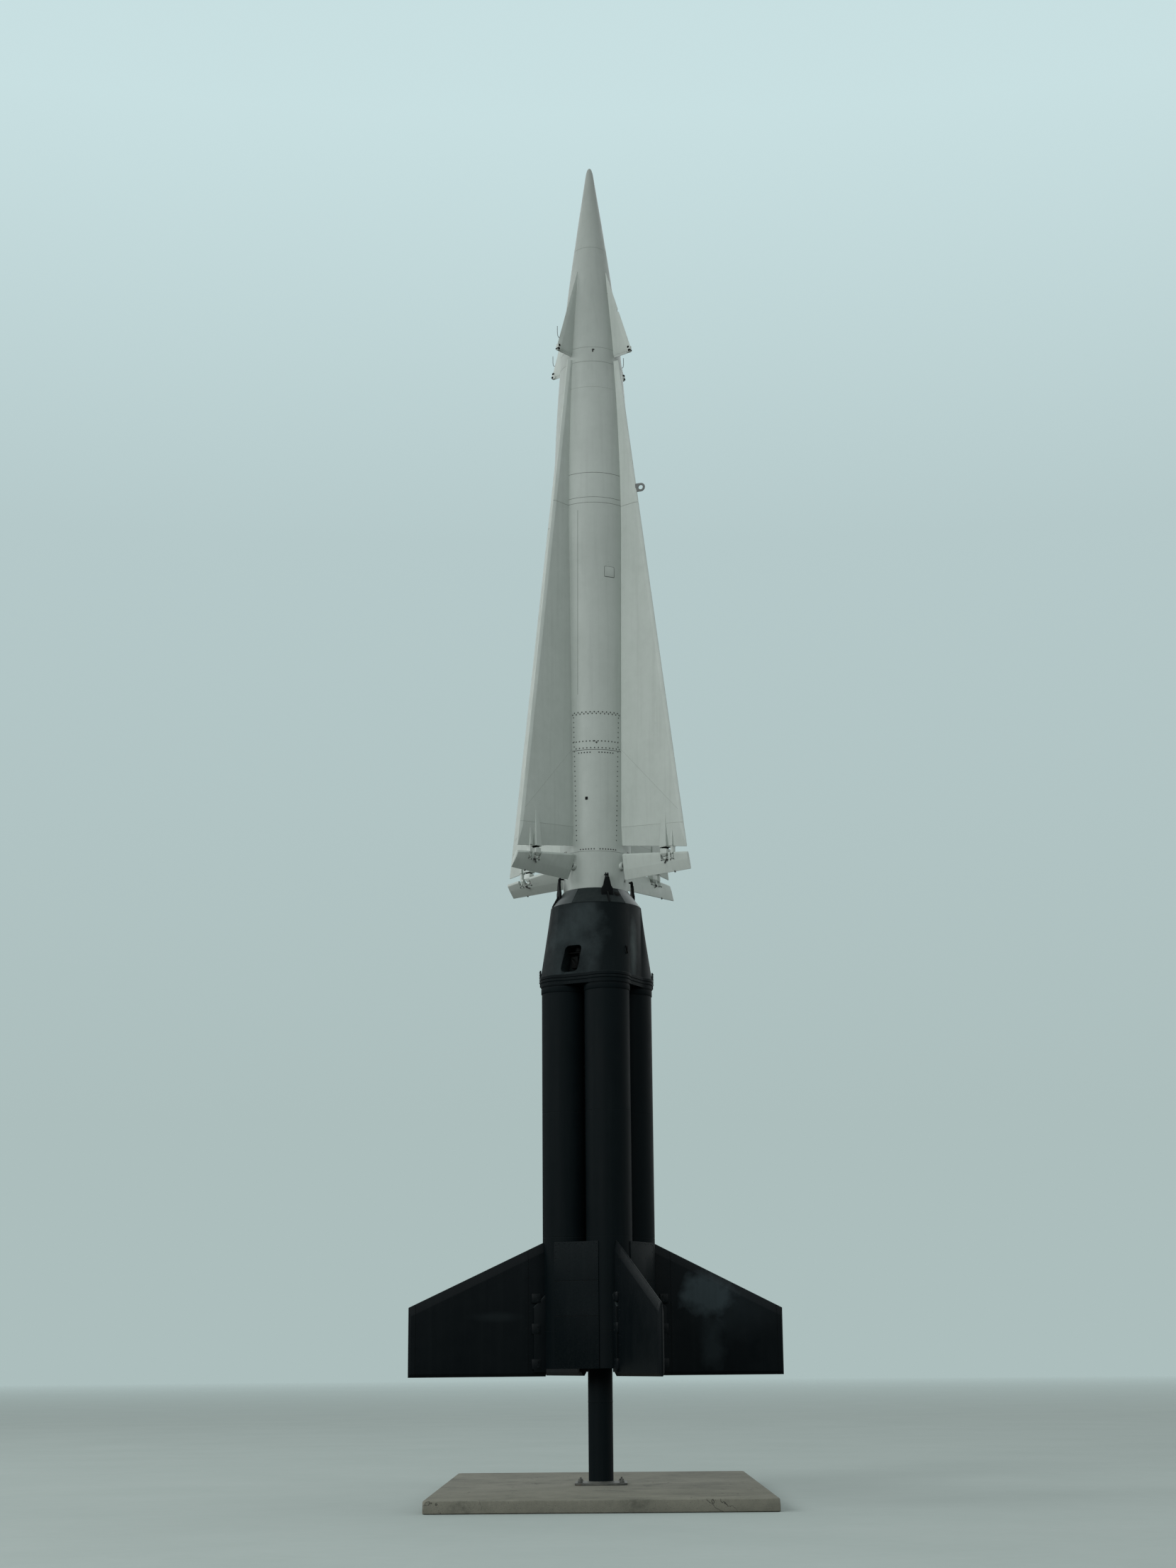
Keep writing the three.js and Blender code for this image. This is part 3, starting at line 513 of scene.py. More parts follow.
# Painted light on the adapter: its upper left, a painted highlight on the crease on its right, and the
# port's right side.
ADAPTER_CLOUDS = (((-0.20, -0.38, 5.02), (0.24, 0.35, 0.36), PAINTED_LIGHT_BLACK, 0.9, 0.0, 0.5),
                  ((-0.08, -0.44, 5.14), (0.13, 0.3, 0.20), PAINTED_LIGHT_BLACK, 0.6, 0.0, 0.5),
                  ((-0.34, -0.28, 4.66), (0.15, 0.3, 0.26), PAINTED_LIGHT_BLACK, 0.7, 0.0, 0.5),
                  ((0.345, -0.285, 4.78), (0.034, 0.15, 0.40), RIDGE_HIGHLIGHT, 1.0, 0.1, 0.3),
                  ((-0.06, -0.47, 4.68), (0.10, 0.2, 0.24), PAINTED_LIGHT_BLACK, 0.6, 0.0, 0.5))

STAGE_PAINT = make_stage_paint(
    "stage_paint", (0.47, 0.515, 0.48, 1), (0.42, 0.46, 0.428, 1), 0.22, 0.5, nose_darkening=0.32)
# The wings' paint is a lighter copy of the stage paint: painted light that brightens the wings, elevons,
# forward fins and their fittings.
WING_PAINT = make_stage_paint("wing_paint", (0.56, 0.61, 0.57, 1), (0.49, 0.54, 0.50, 1), 0.2, 0.52)
KNUCKLE_PAINT = make_stage_paint("knuckle_paint", (0.64, 0.69, 0.65, 1), (0.52, 0.56, 0.52, 1), 0.3, 0.45)
BOOSTER_PAINT = make_black_paint(
    "booster_paint", (0.0019, 0.0046, 0.0058, 1), (0.0048, 0.0088, 0.0102, 1), 0.5, 0.07)
FIN_PAINT = make_black_paint(
    "booster_fin_paint", (0.0022, 0.0044, 0.0056, 1), (0.0054, 0.0086, 0.0100, 1), 0.38, 0.11,
    clouds=FIN_CLOUDS, dusty=0.04)
ADAPTER_PAINT = make_black_paint(
    "adapter_paint", (0.0018, 0.0050, 0.0060, 1), (0.0058, 0.0098, 0.0112, 1), 0.5, 0.08,
    clouds=ADAPTER_CLOUDS)
# A lighter black for faces that slope up: a painted highlight where the sky's light falls on them.
SHOULDER_HIGHLIGHT_PAINT = make_black_paint(
    "shoulder_highlight_paint", (0.020, 0.029, 0.030, 1), (0.045, 0.058, 0.060, 1), 0.36, 0.4, clear=0.2)
COVER_PAINT = make_black_paint(
    "matte_cover_paint", (0.0080, 0.0125, 0.0135, 1), (0.018, 0.026, 0.027, 1), 0.6, 0.12)
HOOK_BLACK = make_black_paint(
    "hook_black", (0.0018, 0.0028, 0.0032, 1), (0.0048, 0.0066, 0.0072, 1), 0.5, 0.09)
# Dark metal for fittings; also painted shade inside the hinge arms' fairings.
DARK_FITTING_AND_SHADE = make_metal("dark_fitting_and_shade", (0.016, 0.018, 0.018, 1), (0.030, 0.032, 0.031, 1), 0.5, 0.4)
BARE_STEEL = make_metal("bare_steel", (0.30, 0.30, 0.29, 1), (0.16, 0.15, 0.135, 1), 0.34)
WIRE_GREY = make_metal("wire_grey", (0.13, 0.145, 0.145, 1), (0.19, 0.205, 0.205, 1), 0.5, 0.3)
LUG_GREY = make_metal("lug_grey", (0.10, 0.112, 0.108, 1), (0.16, 0.172, 0.165, 1), 0.5, 0.2)
NOZZLE_STEEL = make_metal(
    "burnt_nozzle_steel", (0.065, 0.060, 0.056, 1), (0.022, 0.021, 0.020, 1), 0.45, 0.8)
RIVET_PAINT = make_grime_and_shade("rivet_grime", (0.060, 0.068, 0.060, 1), (0.115, 0.125, 0.115, 1))
FADED_RIVET_PAINT = make_grime_and_shade("faded_rivet_grime", (0.12, 0.135, 0.122, 1), (0.20, 0.215, 0.20, 1))
SEAM_GRIME = make_grime_and_shade("seam_grime", (0.045, 0.050, 0.046, 1), (0.13, 0.14, 0.13, 1))
FAINT_SEAM = make_grime_and_shade("faint_seam", (0.22, 0.24, 0.225, 1), (0.31, 0.335, 0.315, 1))
# Dark paint for the forward fins' rear faces: painted shade.
SHADED_REAR = make_grime_and_shade("shaded_rear", (0.035, 0.040, 0.038, 1), (0.080, 0.088, 0.082, 1))
# Near-black: grime deep in seams, and painted shade on parts put where there is only shade.
BLACK_SEAM_AND_SHADE = make_grime_and_shade("black_seam_and_shade", (0.0015, 0.002, 0.002, 1), (0.004, 0.005, 0.005, 1))
PAD_CONCRETE = make_pad_concrete()
PLATE_STEEL = make_plate_steel()


# Light: an overcast sky, brighter to the left, behind and overhead, and dark low down in front.

# The sky's glow by azimuth from the front: near the horizon, and higher up.
SKY_GLOW = ((0, 0.0, 1.75), (60, 0.0, 0.12), (120, 0.55, 1.42), (180, 0.16, 1.02), (240, 0.0, 0.90))
BACKDROP_LOW = (0.413, 0.515, 0.509, 1)
BACKDROP_MIDDLE = (0.462, 0.584, 0.591, 1)
BACKDROP_HIGH = (0.580, 0.742, 0.758, 1)

# The soft lamps: azimuth, height in metres, and watts.
LAMPS = (("front_left_lamp", -40, 15, 3400), ("left_lamp", -95, 18, 2400))
LAMP_DISTANCE = 32
LAMP_SIZE = 16
LAMP_TARGET = Vector((0, 0, 8))


def set_up_sky():
    world = bpy.data.worlds.new("overcast_studio")
    bpy.context.scene.world = world
    world.use_nodes = True
    tree = world.node_tree
    tree.nodes.clear()
    way = add(tree, "ShaderNodeTexCoord").outputs["Generated"]
    height = height_of(tree, way)
    rise = spread(tree, height, 0.12, 0.32)
    strength = 0.0
    for azimuth, near_horizon, higher in SKY_GLOW:
        turn = math.radians(azimuth)
        facing = vectors(tree, "DOT_PRODUCT", way, (math.sin(turn), -math.cos(turn), 0.0), "Value")
        patch = sums(tree, "POWER", sums(tree, "MAXIMUM", facing, 0.0), 2.0)
        glow = add(tree, "ShaderNodeMix", {0: rise, 2: near_horizon, 3: higher}).outputs[0]
        strength = sums(tree, "ADD", strength, sums(tree, "MULTIPLY", patch, glow))
    light = add(tree, "ShaderNodeBackground", {"Color": (0.93, 1.0, 1.0, 1), "Strength": strength})
    low = spread(tree, height, 0.10, 0.34)
    high = spread(tree, height, 0.34, 0.50)
    fog = blend(tree, high, blend(tree, low, BACKDROP_LOW, BACKDROP_MIDDLE), BACKDROP_HIGH)
    backdrop = add(tree, "ShaderNodeBackground", {"Color": fog})
    seen = add(tree, "ShaderNodeLightPath").outputs["Is Camera Ray"]
    both = add(tree, "ShaderNodeMixShader", {0: seen, 1: light.outputs[0], 2: backdrop.outputs[0]})
    add(tree, "ShaderNodeOutputWorld", {"Surface": both.outputs[0]})


def set_up_lamps():
    """Large soft lamps, high on the left."""
    for name, azimuth, height, watts in LAMPS:
        lamp = bpy.data.lights.new(name, "AREA")
        lamp.shape = "DISK"
        lamp.size = LAMP_SIZE
        lamp.energy = watts
        lamp.color = (0.97, 1.0, 1.0)
        stand = bpy.data.objects.new(name, lamp)
        bpy.context.scene.collection.objects.link(stand)
        turn = math.radians(azimuth)
        stand.location = (LAMP_DISTANCE * math.sin(turn), -LAMP_DISTANCE * math.cos(turn), height)
        stand.rotation_euler = (LAMP_TARGET - stand.location).to_track_quat("-Z", "Y").to_euler()


def lay_floor():
    """A pale plain floor that fades into the backdrop far off."""
    bpy.ops.mesh.primitive_circle_add(vertices=96, radius=240, fill_type="NGON", location=(0, 0, -0.002))
    floor = bpy.context.object
    floor.name = "studio_floor"
    material, tree, shader = new_material("floor_grey")
    away = vectors(tree, "LENGTH", object_place(tree), output="Value")
    mottle = grime(tree, 0.6, 5.0, 0.3, 0.7)
    tree.links.new(blend(tree, mottle, (0.40, 0.46, 0.44, 1), (0.44, 0.50, 0.48, 1)), shader["Base Color"])
    shader["Roughness"].default_value = 0.85
    shader["Specular IOR Level"].default_value = 0.1
    clear = add(tree, "ShaderNodeBsdfTransparent")
    far = spread(tree, away, 30.0, 150.0)
    # What the floor throws back on the rocket is that of darker ground.
    dark = add(tree, "ShaderNodeBsdfDiffuse", {"Color": (0.13, 0.14, 0.13, 1)})
    seen = add(tree, "ShaderNodeLightPath").outputs["Is Camera Ray"]
    pale = tree.nodes["Principled BSDF"].outputs[0]
    both = add(tree, "ShaderNodeMixShader", {0: seen, 1: dark.outputs[0], 2: pale})
    shade = add(tree, "ShaderNodeMixShader", {0: far, 1: both.outputs[0], 2: clear.outputs[0]})
    tree.links.new(shade.outputs[0], tree.nodes["Material Output"].inputs["Surface"])
    floor.data.materials.append(material)


set_up_sky()
set_up_lamps()
lay_floor()
bpy.context.scene.view_settings.view_transform = "Standard"


# The modelling bench.

def spot(x, y, height):
    """A point in metres from millimetres, its height above the pad."""
    return Vector((x * MM, y * MM, PAD_TOP + height * MM))


def at(x, y, height):
    return Matrix.Translation(spot(x, y, height))


def way(x, y, z):
    """A direction, one long."""
    return Vector((x, y, z)).normalized()


def turned(angle, axis):
    return Matrix.Rotation(math.radians(angle), 4, axis)


# Turns what stands on the XY plane to face outwards: X goes sideways, Y up and Z outwards.
OUTWARD = Matrix(((0, 0, 1), (1, 0, 0), (0, 1, 0))).to_4x4()


def outward_at(azimuth):
    """The turn that takes a piece made along +X to an azimuth."""
    return turned(azimuth - 90, "Z")


def on_radius(azimuth, radius, height, out_tilt=0.0):
    """A place on the outside of something round: X sideways, Y up, Z outwards."""
    return outward_at(azimuth) @ at(radius, 0, height) @ OUTWARD @ turned(out_tilt, "X")


def on_faces(points, thick):
    """Places on both faces of a plate that stands along +X, from distances along it and heights."""
    return [at(x, side * thick / 2, height) @ turned(-90 * side, "X")
            for side in (-1, 1) for x, height in points]


def clear_bench():
    if bpy.context.object and bpy.context.object.mode != "OBJECT":
        bpy.ops.object.mode_set(mode="OBJECT")
    bpy.ops.object.select_all(action="DESELECT")


def hold(piece):
    clear_bench()
    piece.select_set(True)
    bpy.context.view_layer.objects.active = piece


def take_up(piece):
    hold(piece)
    bpy.ops.object.mode_set(mode="EDIT")
    bpy.ops.mesh.select_mode(type="FACE")
    bpy.ops.mesh.select_all(action="SELECT")


def put_down(piece):
    bpy.ops.mesh.select_all(action="SELECT")
    bpy.ops.mesh.normals_make_consistent(inside=False)
    clear_bench()
    return piece


def discard(piece):
    bpy.data.objects.remove(piece, do_unlink=True)


LISTS = {"VERT": "verts", "EDGE": "edges", "FACE": "faces"}


def pick(piece, kind, wanted):
    """Selects the faces, edges or points that the test wants."""
    bpy.ops.mesh.select_mode(type=kind)
    bpy.ops.mesh.select_all(action="DESELECT")
    drawn = bmesh.from_edit_mesh(piece.data)
    for element in getattr(drawn, LISTS[kind]):
        if wanted(element):
            element.select_set(True)
    drawn.select_flush_mode()
    bmesh.update_edit_mesh(piece.data)


def face_height(face):
    """The height of a face's middle above the pad, in millimetres."""
    return (face.calc_center_median().z - PAD_TOP) / MM


def on_flat(face):
    """Whether a face is on the flat sides of a wing or fin."""
    return abs(face.normal.y) > 0.8


def draw_out(move, grow=None, about=None):
    """Extrudes what is selected and resizes its far end about a point."""
    bpy.ops.mesh.extrude_region_move(TRANSFORM_OT_translate={"value": move})
    if grow:
        bpy.ops.transform.resize(value=grow, center_override=about)


def bake_place():
    """Applies the place, turn and size of the selected pieces."""
    bpy.ops.object.transform_apply(location=True, rotation=True, scale=True)


def new_piece(name):
    piece = bpy.context.object
    piece.name = name
    piece.data.name = name
    bake_place()
    return piece


def ring_stack(name, rings, sides, centre=(0, 0)):
    """A round form drawn up ring by ring from [radius, height] pairs, closed at both ends."""
    radius, height = rings[0]
    clear_bench()
    bpy.ops.mesh.primitive_circle_add(vertices=sides, radius=radius * MM, fill_type="NGON",
                                      location=spot(*centre, height))
    piece = new_piece(name)
    take_up(piece)
    for next_radius, next_height in rings[1:]:
        grow = next_radius / radius
        draw_out((0, 0, (next_height - height) * MM), (grow, grow, 1), spot(*centre, next_height))
        radius, height = next_radius, next_height
    return put_down(piece)


def open_ring(name, radius, height, steps, sides, tall=1.0):
    """A ring on its own XY plane, drawn from a circle round its section and back.

    Each step is a radius and a rise. At the end the ring is stretched along Y."""
    clear_bench()
    bpy.ops.mesh.primitive_circle_add(vertices=sides, radius=radius * MM, fill_type="NOTHING",
                                      location=(0, 0, height * MM))
    ring = new_piece(name)
    take_up(ring)
    bpy.ops.mesh.select_mode(type="EDGE")
    bpy.ops.mesh.select_all(action="SELECT")
    for next_radius, rise in steps:
        grow = next_radius / radius
        draw_out((0, 0, rise * MM), (grow, grow, 1), (0, 0, 0))
        radius = next_radius
    bpy.ops.mesh.select_all(action="SELECT")
    bpy.ops.mesh.remove_doubles(threshold=0.00002)
    bpy.ops.transform.resize(value=(1, tall, 1), center_override=(0, 0, 0))
    return put_down(ring)


def block(name, low, high):
    clear_bench()
    middle = [(a + b) / 2 for a, b in zip(low, high)]
    bpy.ops.mesh.primitive_cube_add(size=1, location=spot(*middle))
    bpy.context.object.scale = [(b - a) * MM for a, b in zip(low, high)]
    return new_piece(name)


def shave(piece, point, normal):
    """Cuts off all that lies beyond a plane, and closes the cut."""
    take_up(piece)
    bpy.ops.mesh.bisect(plane_co=point, plane_no=normal, use_fill=True, clear_outer=True)
    return put_down(piece)


def score(piece, point, normal):
    take_up(piece)
    bpy.ops.mesh.bisect(plane_co=point, plane_no=normal)
    clear_bench()


def outline_sides(outline):
    """Each side of an outline in the plane through the axis: its first corner and outward normal."""
    for (x, h), (next_x, next_h) in zip(outline, outline[1:] + outline[:1]):
        yield (x, h), Vector((next_h - h, 0, x - next_x)).normalized()


def blade(name, outline, bevels, thick, edge):
    """A wing or fin cut from a slab: its sides first, then the slopes that thin its edges."""
    across = [x for x, _ in outline]
    heights = [h for _, h in outline]
    slab = block(name, (min(across) - 1, -thick / 2, min(heights) - 1),
                 (max(across) + 1, thick / 2, max(heights) + 1))
    for (x, h), outward in outline_sides(outline):
        shave(slab, spot(x, 0, h), outward)
    for ((x, h), outward), width in zip(outline_sides(outline), bevels):
        if not width:
            continue
        for side in (-1, 1):
            slope = (thick - edge) / 2 * outward + width * Vector((0, side, 0))
            shave(slab, spot(x, side * edge / 2, h), slope.normalized())
    return slab


def ease_edges(piece, width, segments=2, angle=28):
    hold(piece)
    change = piece.modifiers.new("eased_edges", "BEVEL")
    change.width = width * MM
    change.segments = segments
    change.limit_method = "ANGLE"
    change.angle_limit = math.radians(angle)
    bpy.ops.object.modifier_apply(modifier=change.name)
    return piece


def cut_away(piece, tool):
    hold(piece)
    change = piece.modifiers.new("cut", "BOOLEAN")
    change.operation = "DIFFERENCE"
    change.solver = "EXACT"
    change.object = tool
    bpy.ops.object.modifier_apply(modifier=change.name)
    discard(tool)


def join(name, pieces):
    clear_bench()
    for piece in pieces:
        piece.select_set(True)
    bpy.context.view_layer.objects.active = pieces[0]
    if len(pieces) > 1:
        bpy.ops.object.join()
    pieces[0].name = name
    pieces[0].data.name = name
    return pieces[0]


def settle(piece, place):
    """Moves a piece to its place for good."""
    piece.matrix_world = place
    hold(piece)
    bake_place()
    return piece


def lay(piece, angle, axis, point=(0, 0, 0)):
    """Turns a piece that was drawn up from the pad's top about that spot, and takes the spot to a point."""
    lowered = Matrix.Translation((0, 0, -PAD_TOP))
    return settle(piece, Matrix.Translation(point) @ turned(angle, axis) @ lowered)


def twin(template):
    """A copy with its own mesh."""
    piece = template.copy()
    piece.data = template.data.copy()
    bpy.context.scene.collection.objects.link(piece)
    return piece


def own_copy(template, name, place):
    """A copy with its own mesh, moved to its place."""
    piece = twin(template)
    piece.name = name
    piece.data.name = name
    return settle(piece, place)


def placed(template, name, place):
    """The same, where the template isn't needed again."""
    piece = own_copy(template, name, place)
    discard(template)
    return piece


def stamp(name, template, places):
    """One piece of many copies of a small template."""
    copies = [twin(template) for _ in places]
    clear_bench()
    for piece, place in zip(copies, places):
        piece.matrix_world = place
        piece.select_set(True)
    bpy.context.view_layer.objects.active = copies[0]
    bake_place()
    return join(name, copies)


def paint(piece, *materials):
    for material in materials:
        piece.data.materials.append(material)
    return piece


def finish(piece, body="rocket", stands_for=None, angle=30):
    hold(piece)
    bpy.ops.object.shade_smooth_by_angle(angle=math.radians(angle))
    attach(piece, body)
    if stands_for:
        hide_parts(stands_for)


def set_round(template, name, turn, node, angle=30, ways=QUARTERS):
    """Four finished copies round the rocket, each with its way's name after its own and its node's."""
    for way, azimuth in ways:
        piece = own_copy(template, name + way, outward_at(turn + azimuth))
        finish(piece, stands_for=node + way, angle=angle)
    discard(template)


def assign(piece, index):
    """Gives what is selected another of the piece's materials."""
    piece.active_material_index = index
    bpy.ops.object.material_slot_assign()


def repaint(piece, wanted, index=1):
    """Gives the faces that the test wants another of the piece's materials."""
    take_up(piece)
    pick(piece, "FACE", wanted)
    assign(piece, index)
    clear_bench()


def groove(piece, point, normal, width, wanted):
    """A seam sunk between two scored lines, dark inside. The piece has seam grime as its second material."""
    normal = Vector(normal).normalized()
    half = width / 2 * MM
    score(piece, point - normal * half, normal)
    score(piece, point + normal * half, normal)
    take_up(piece)
    pick(piece, "FACE",
         lambda face: abs((face.calc_center_median() - point).dot(normal)) < half and wanted(face))
    bpy.ops.mesh.inset(thickness=width * 0.2 * MM, depth=-width * 0.5 * MM)
    assign(piece, 1)
    clear_bench()


def rod(name, points, radius, sides=3):
    """A bent rod or wire through points, with closed ends."""
    clear_bench()
    line = bpy.data.curves.new(name, "CURVE")
    line.dimensions = "3D"
    strand = line.splines.new("BEZIER")
    strand.bezier_points.add(len(points) - 1)
    for knot, point in zip(strand.bezier_points, points):
        knot.co = point
        knot.handle_left_type = "AUTO"
        knot.handle_right_type = "AUTO"
    line.bevel_depth = radius * MM
    line.bevel_resolution = sides
    line.use_fill_caps = True
    piece = bpy.data.objects.new(name, line)
    bpy.context.scene.collection.objects.link(piece)
    hold(piece)
    bpy.ops.object.convert(target="MESH")
    take_up(piece)
    bpy.ops.mesh.remove_doubles(threshold=0.00001)
    return put_down(piece)


def make_button(name, radius, rise, sides=8):
    """A rivet or screw head that stands on its own XY plane."""
    clear_bench()
    bpy.ops.mesh.primitive_circle_add(vertices=sides, radius=radius * MM, fill_type="NGON",
                                      location=(0, 0, -BURIED))
    piece = new_piece(name)
    take_up(piece)
    draw_out((0, 0, BURIED + rise * 0.45 * MM))
    draw_out((0, 0, rise * 0.55 * MM), (0.62, 0.62, 1), (0, 0, rise * MM))
    return put_down(piece)


def make_hex_bolt(name, radius, rise):
    """A hexagon head on a washer, standing on its own XY plane."""
    washer = make_button(name + "_washer", radius * 1.35, rise * 0.2, 16)
    clear_bench()
    bpy.ops.mesh.primitive_circle_add(vertices=6, radius=radius * MM, fill_type="NGON", location=(0, 0, 0))
    head = new_piece(name)
    take_up(head)
    draw_out((0, 0, rise * 0.85 * MM))
    draw_out((0, 0, rise * 0.15 * MM), (0.85, 0.85, 1), (0, 0, rise * MM))
    put_down(head)
    return join(name, [head, washer])


RIVET = make_button("rivet", 5.2, 1.8)
DARK_RIVET = make_button("dark_rivet", 7.0, 1.4)
FLUSH_RIVET = make_button("flush_rivet", 5.0, 0.5)
SCREW = make_button("screw", 7.0, 1.4)
BOLT = make_hex_bolt("bolt", 11, 9)
TEMPLATES = [RIVET, DARK_RIVET, FLUSH_RIVET, SCREW, BOLT]


# The stand.

def make_pad():
    wide, deep = PAD["wide"] / 2, PAD["deep"] / 2
    slab = block("pad_slab", (-wide, -deep, -PAD["thick"]), (wide, deep, 0))
    for side_x, side_y, along, down in PAD_CORNERS:
        corner = spot(side_x * (wide - along), side_y * deep, 0)
        shave(slab, corner, way(side_x, side_y * 0.8, along / down * 0.7))
    ease_edges(slab, 9, 3)
    finish(paint(slab, PAD_CONCRETE), stands_for="pad")


def make_base_plate():
    half, top, out = BASE_PLATE["side"] / 2, BASE_PLATE["top"], BASE_PLATE["anchor"]
    plate = block("base_plate_steel", (-half, -half, BASE_PLATE["bottom"]), (half, half, top))
    cut = half - BASE_PLATE["corner"]
    for side_x, side_y in CORNERS:
        shave(plate, spot(side_x * cut, side_y * cut, 0), (side_x, side_y, 0))
    ease_edges(plate, 2.5)
    finish(paint(plate, PLATE_STEEL), stands_for="base_plate")
    anchor = join("anchor", [make_hex_bolt("anchor_nut", 24, 18), make_button("anchor_stud", 11, 34, 12)])
    places = [at(side_x * out, side_y * out, top) for side_x, side_y in CORNERS]
    anchors = stamp("anchor_bolts", anchor, places)
    discard(anchor)
    finish(paint(anchors, PLATE_STEEL))
    clear_bench()
    bpy.ops.mesh.primitive_torus_add(
        major_segments=96, minor_segments=10, major_radius=FOOT_WELD["radius"] * MM,
        minor_radius=FOOT_WELD["thick"] * MM, location=spot(0, 0, top + 2))
    bead = new_piece("foot_weld")
    take_up(bead)
    bpy.ops.transform.vertex_random(offset=1.3 * MM, seed=7)
    put_down(bead)
    finish(paint(bead, PLATE_STEEL), angle=60)


def make_post():
    r, low, high, weld = POST["radius"], POST["bottom"], POST["top"], POST["weld"]
    rings = [(r - 2, low), (r, low + 2), (r, weld), (r + 1.5, weld + 2), (r + 1.5, weld + 8), (r, weld + 10),
             (r, high - 3), (r - 3, high)]
    parts = [ring_stack("post_pipe", rings, 72)]
    half, reach, foot = POST_WEB["thick"] / 2, POST_WEB["reach"], POST_WEB["bottom"]
    for azimuth in (45, 135):
        web = block("post_web", (-reach, -half, foot), (reach, half, POST_WEB["top"]))
        for side in (-1, 1):
            shave(web, spot(side * (reach - 40), 0, foot), (side, 0, -1))
        ease_edges(web, 2)
        web.matrix_world = outward_at(BOOSTER_TURN + azimuth)
        parts.append(web)
    finish(paint(join("display_post", parts), BOOSTER_PAINT), stands_for="post")


# The booster.

def make_tubes():
    r, low, top = TUBE["radius"], TUBE["bottom"], TUBE["top"]
    wide, bore = TUBE_COLLAR["radius"], TUBE_SKIRT["bore"]
    collar = top - TUBE_COLLAR["height"]
    rings = [(bore, TUBE_SKIRT["roof"]), (bore, low + 8), (bore + 4, low), (r - 3, low), (r, low + 4)]
    # Weld seams round the tube, each a shallow sunk line.
    for seam in TUBE["welds"]:
        rings += [(r, seam - 3), (r - 1.2, seam - 1.5), (r - 1.2, seam + 1.5), (r, seam + 3)]
    rings += [(r, collar - 2), (wide - 1, collar), (wide, collar + 2), (wide, top - 16), (r + 2, top - 14),
              (r + 2, top - 9), (wide, top - 7), (wide, top - 1), (wide - 1, top)]
    tube = paint(ring_stack("tube_template", rings, 80, (TUBE["centre"], 0)), BOOSTER_PAINT)
    set_round(tube, "motor_tube_", BOOSTER_TURN, "booster_tube_")


def make_nozzles():
    n = NOZZLE
    low, neck, throat, wide = n["bottom"], n["neck"], n["throat"], n["exit"]
    inside, inner_exit = throat - n["wall"], wide - n["wall"]
    slope = (wide - throat) / (neck - low)
    rings = [(inside, neck), (inside + 4, neck - 8), (inner_exit, low + 3), (inner_exit + 2, low),
             (wide - 1, low), (wide, low + 2)]
    # Stiffening rings round the bell.
    for rib in n["ribs"]:
        full = wide - slope * (rib - low)
        rings += [(full, rib), (full + 4, rib + 2), (full + 3, rib + 10), (full - slope * 12, rib + 12)]
    rings += [(throat, neck), (throat + 12, neck + 4), (throat + 12, neck + 14), (throat, neck + 16),
              (throat, n["top"])]
    bell = paint(ring_stack("nozzle_template", rings, 64, (TUBE["centre"], 0)), NOZZLE_STEEL)
    set_round(bell, "nozzle_bell_", BOOSTER_TURN, "booster_nozzle_", 40)


def make_shrouds():
    s = SHROUD
    outside, low, top, half = s["face"] + s["thick"], s["bottom"], s["top"], s["half"]
    panel = block("shroud_template", (s["face"], -half, low), (outside, half, top))
    ease_edges(panel, 2)
    paint(panel, BOOSTER_PAINT, BLACK_SEAM_AND_SHADE)
    for seam in s["seams"]:
        groove(panel, spot(s["face"], 0, seam), (0, 0, 1), 5, lambda face: face.normal.x > 0.9)
    places = []
    for side in (-1, 1):
        places += [(side * (half - 16), low + 24 + 58.2 * k) for k in range(19)]
        places += [(side * 70, low + 24 + 116.4 * k) for k in range(10)]
    rows = [low + 12, top - 14] + [seam + beside for seam in s["seams"] for beside in (-16, 16)]
    places += [(60 * k, height) for height in rows for k in range(-3, 4)]
    heads = stamp("shroud_rivets", RIVET, [at(outside, y, height) @ OUTWARD for y, height in places])
    panel = join("shroud_template", [panel, paint(heads, BOOSTER_PAINT)])
    set_round(panel, "shroud_", BOOSTER_TURN + 45, "shroud_panel_")


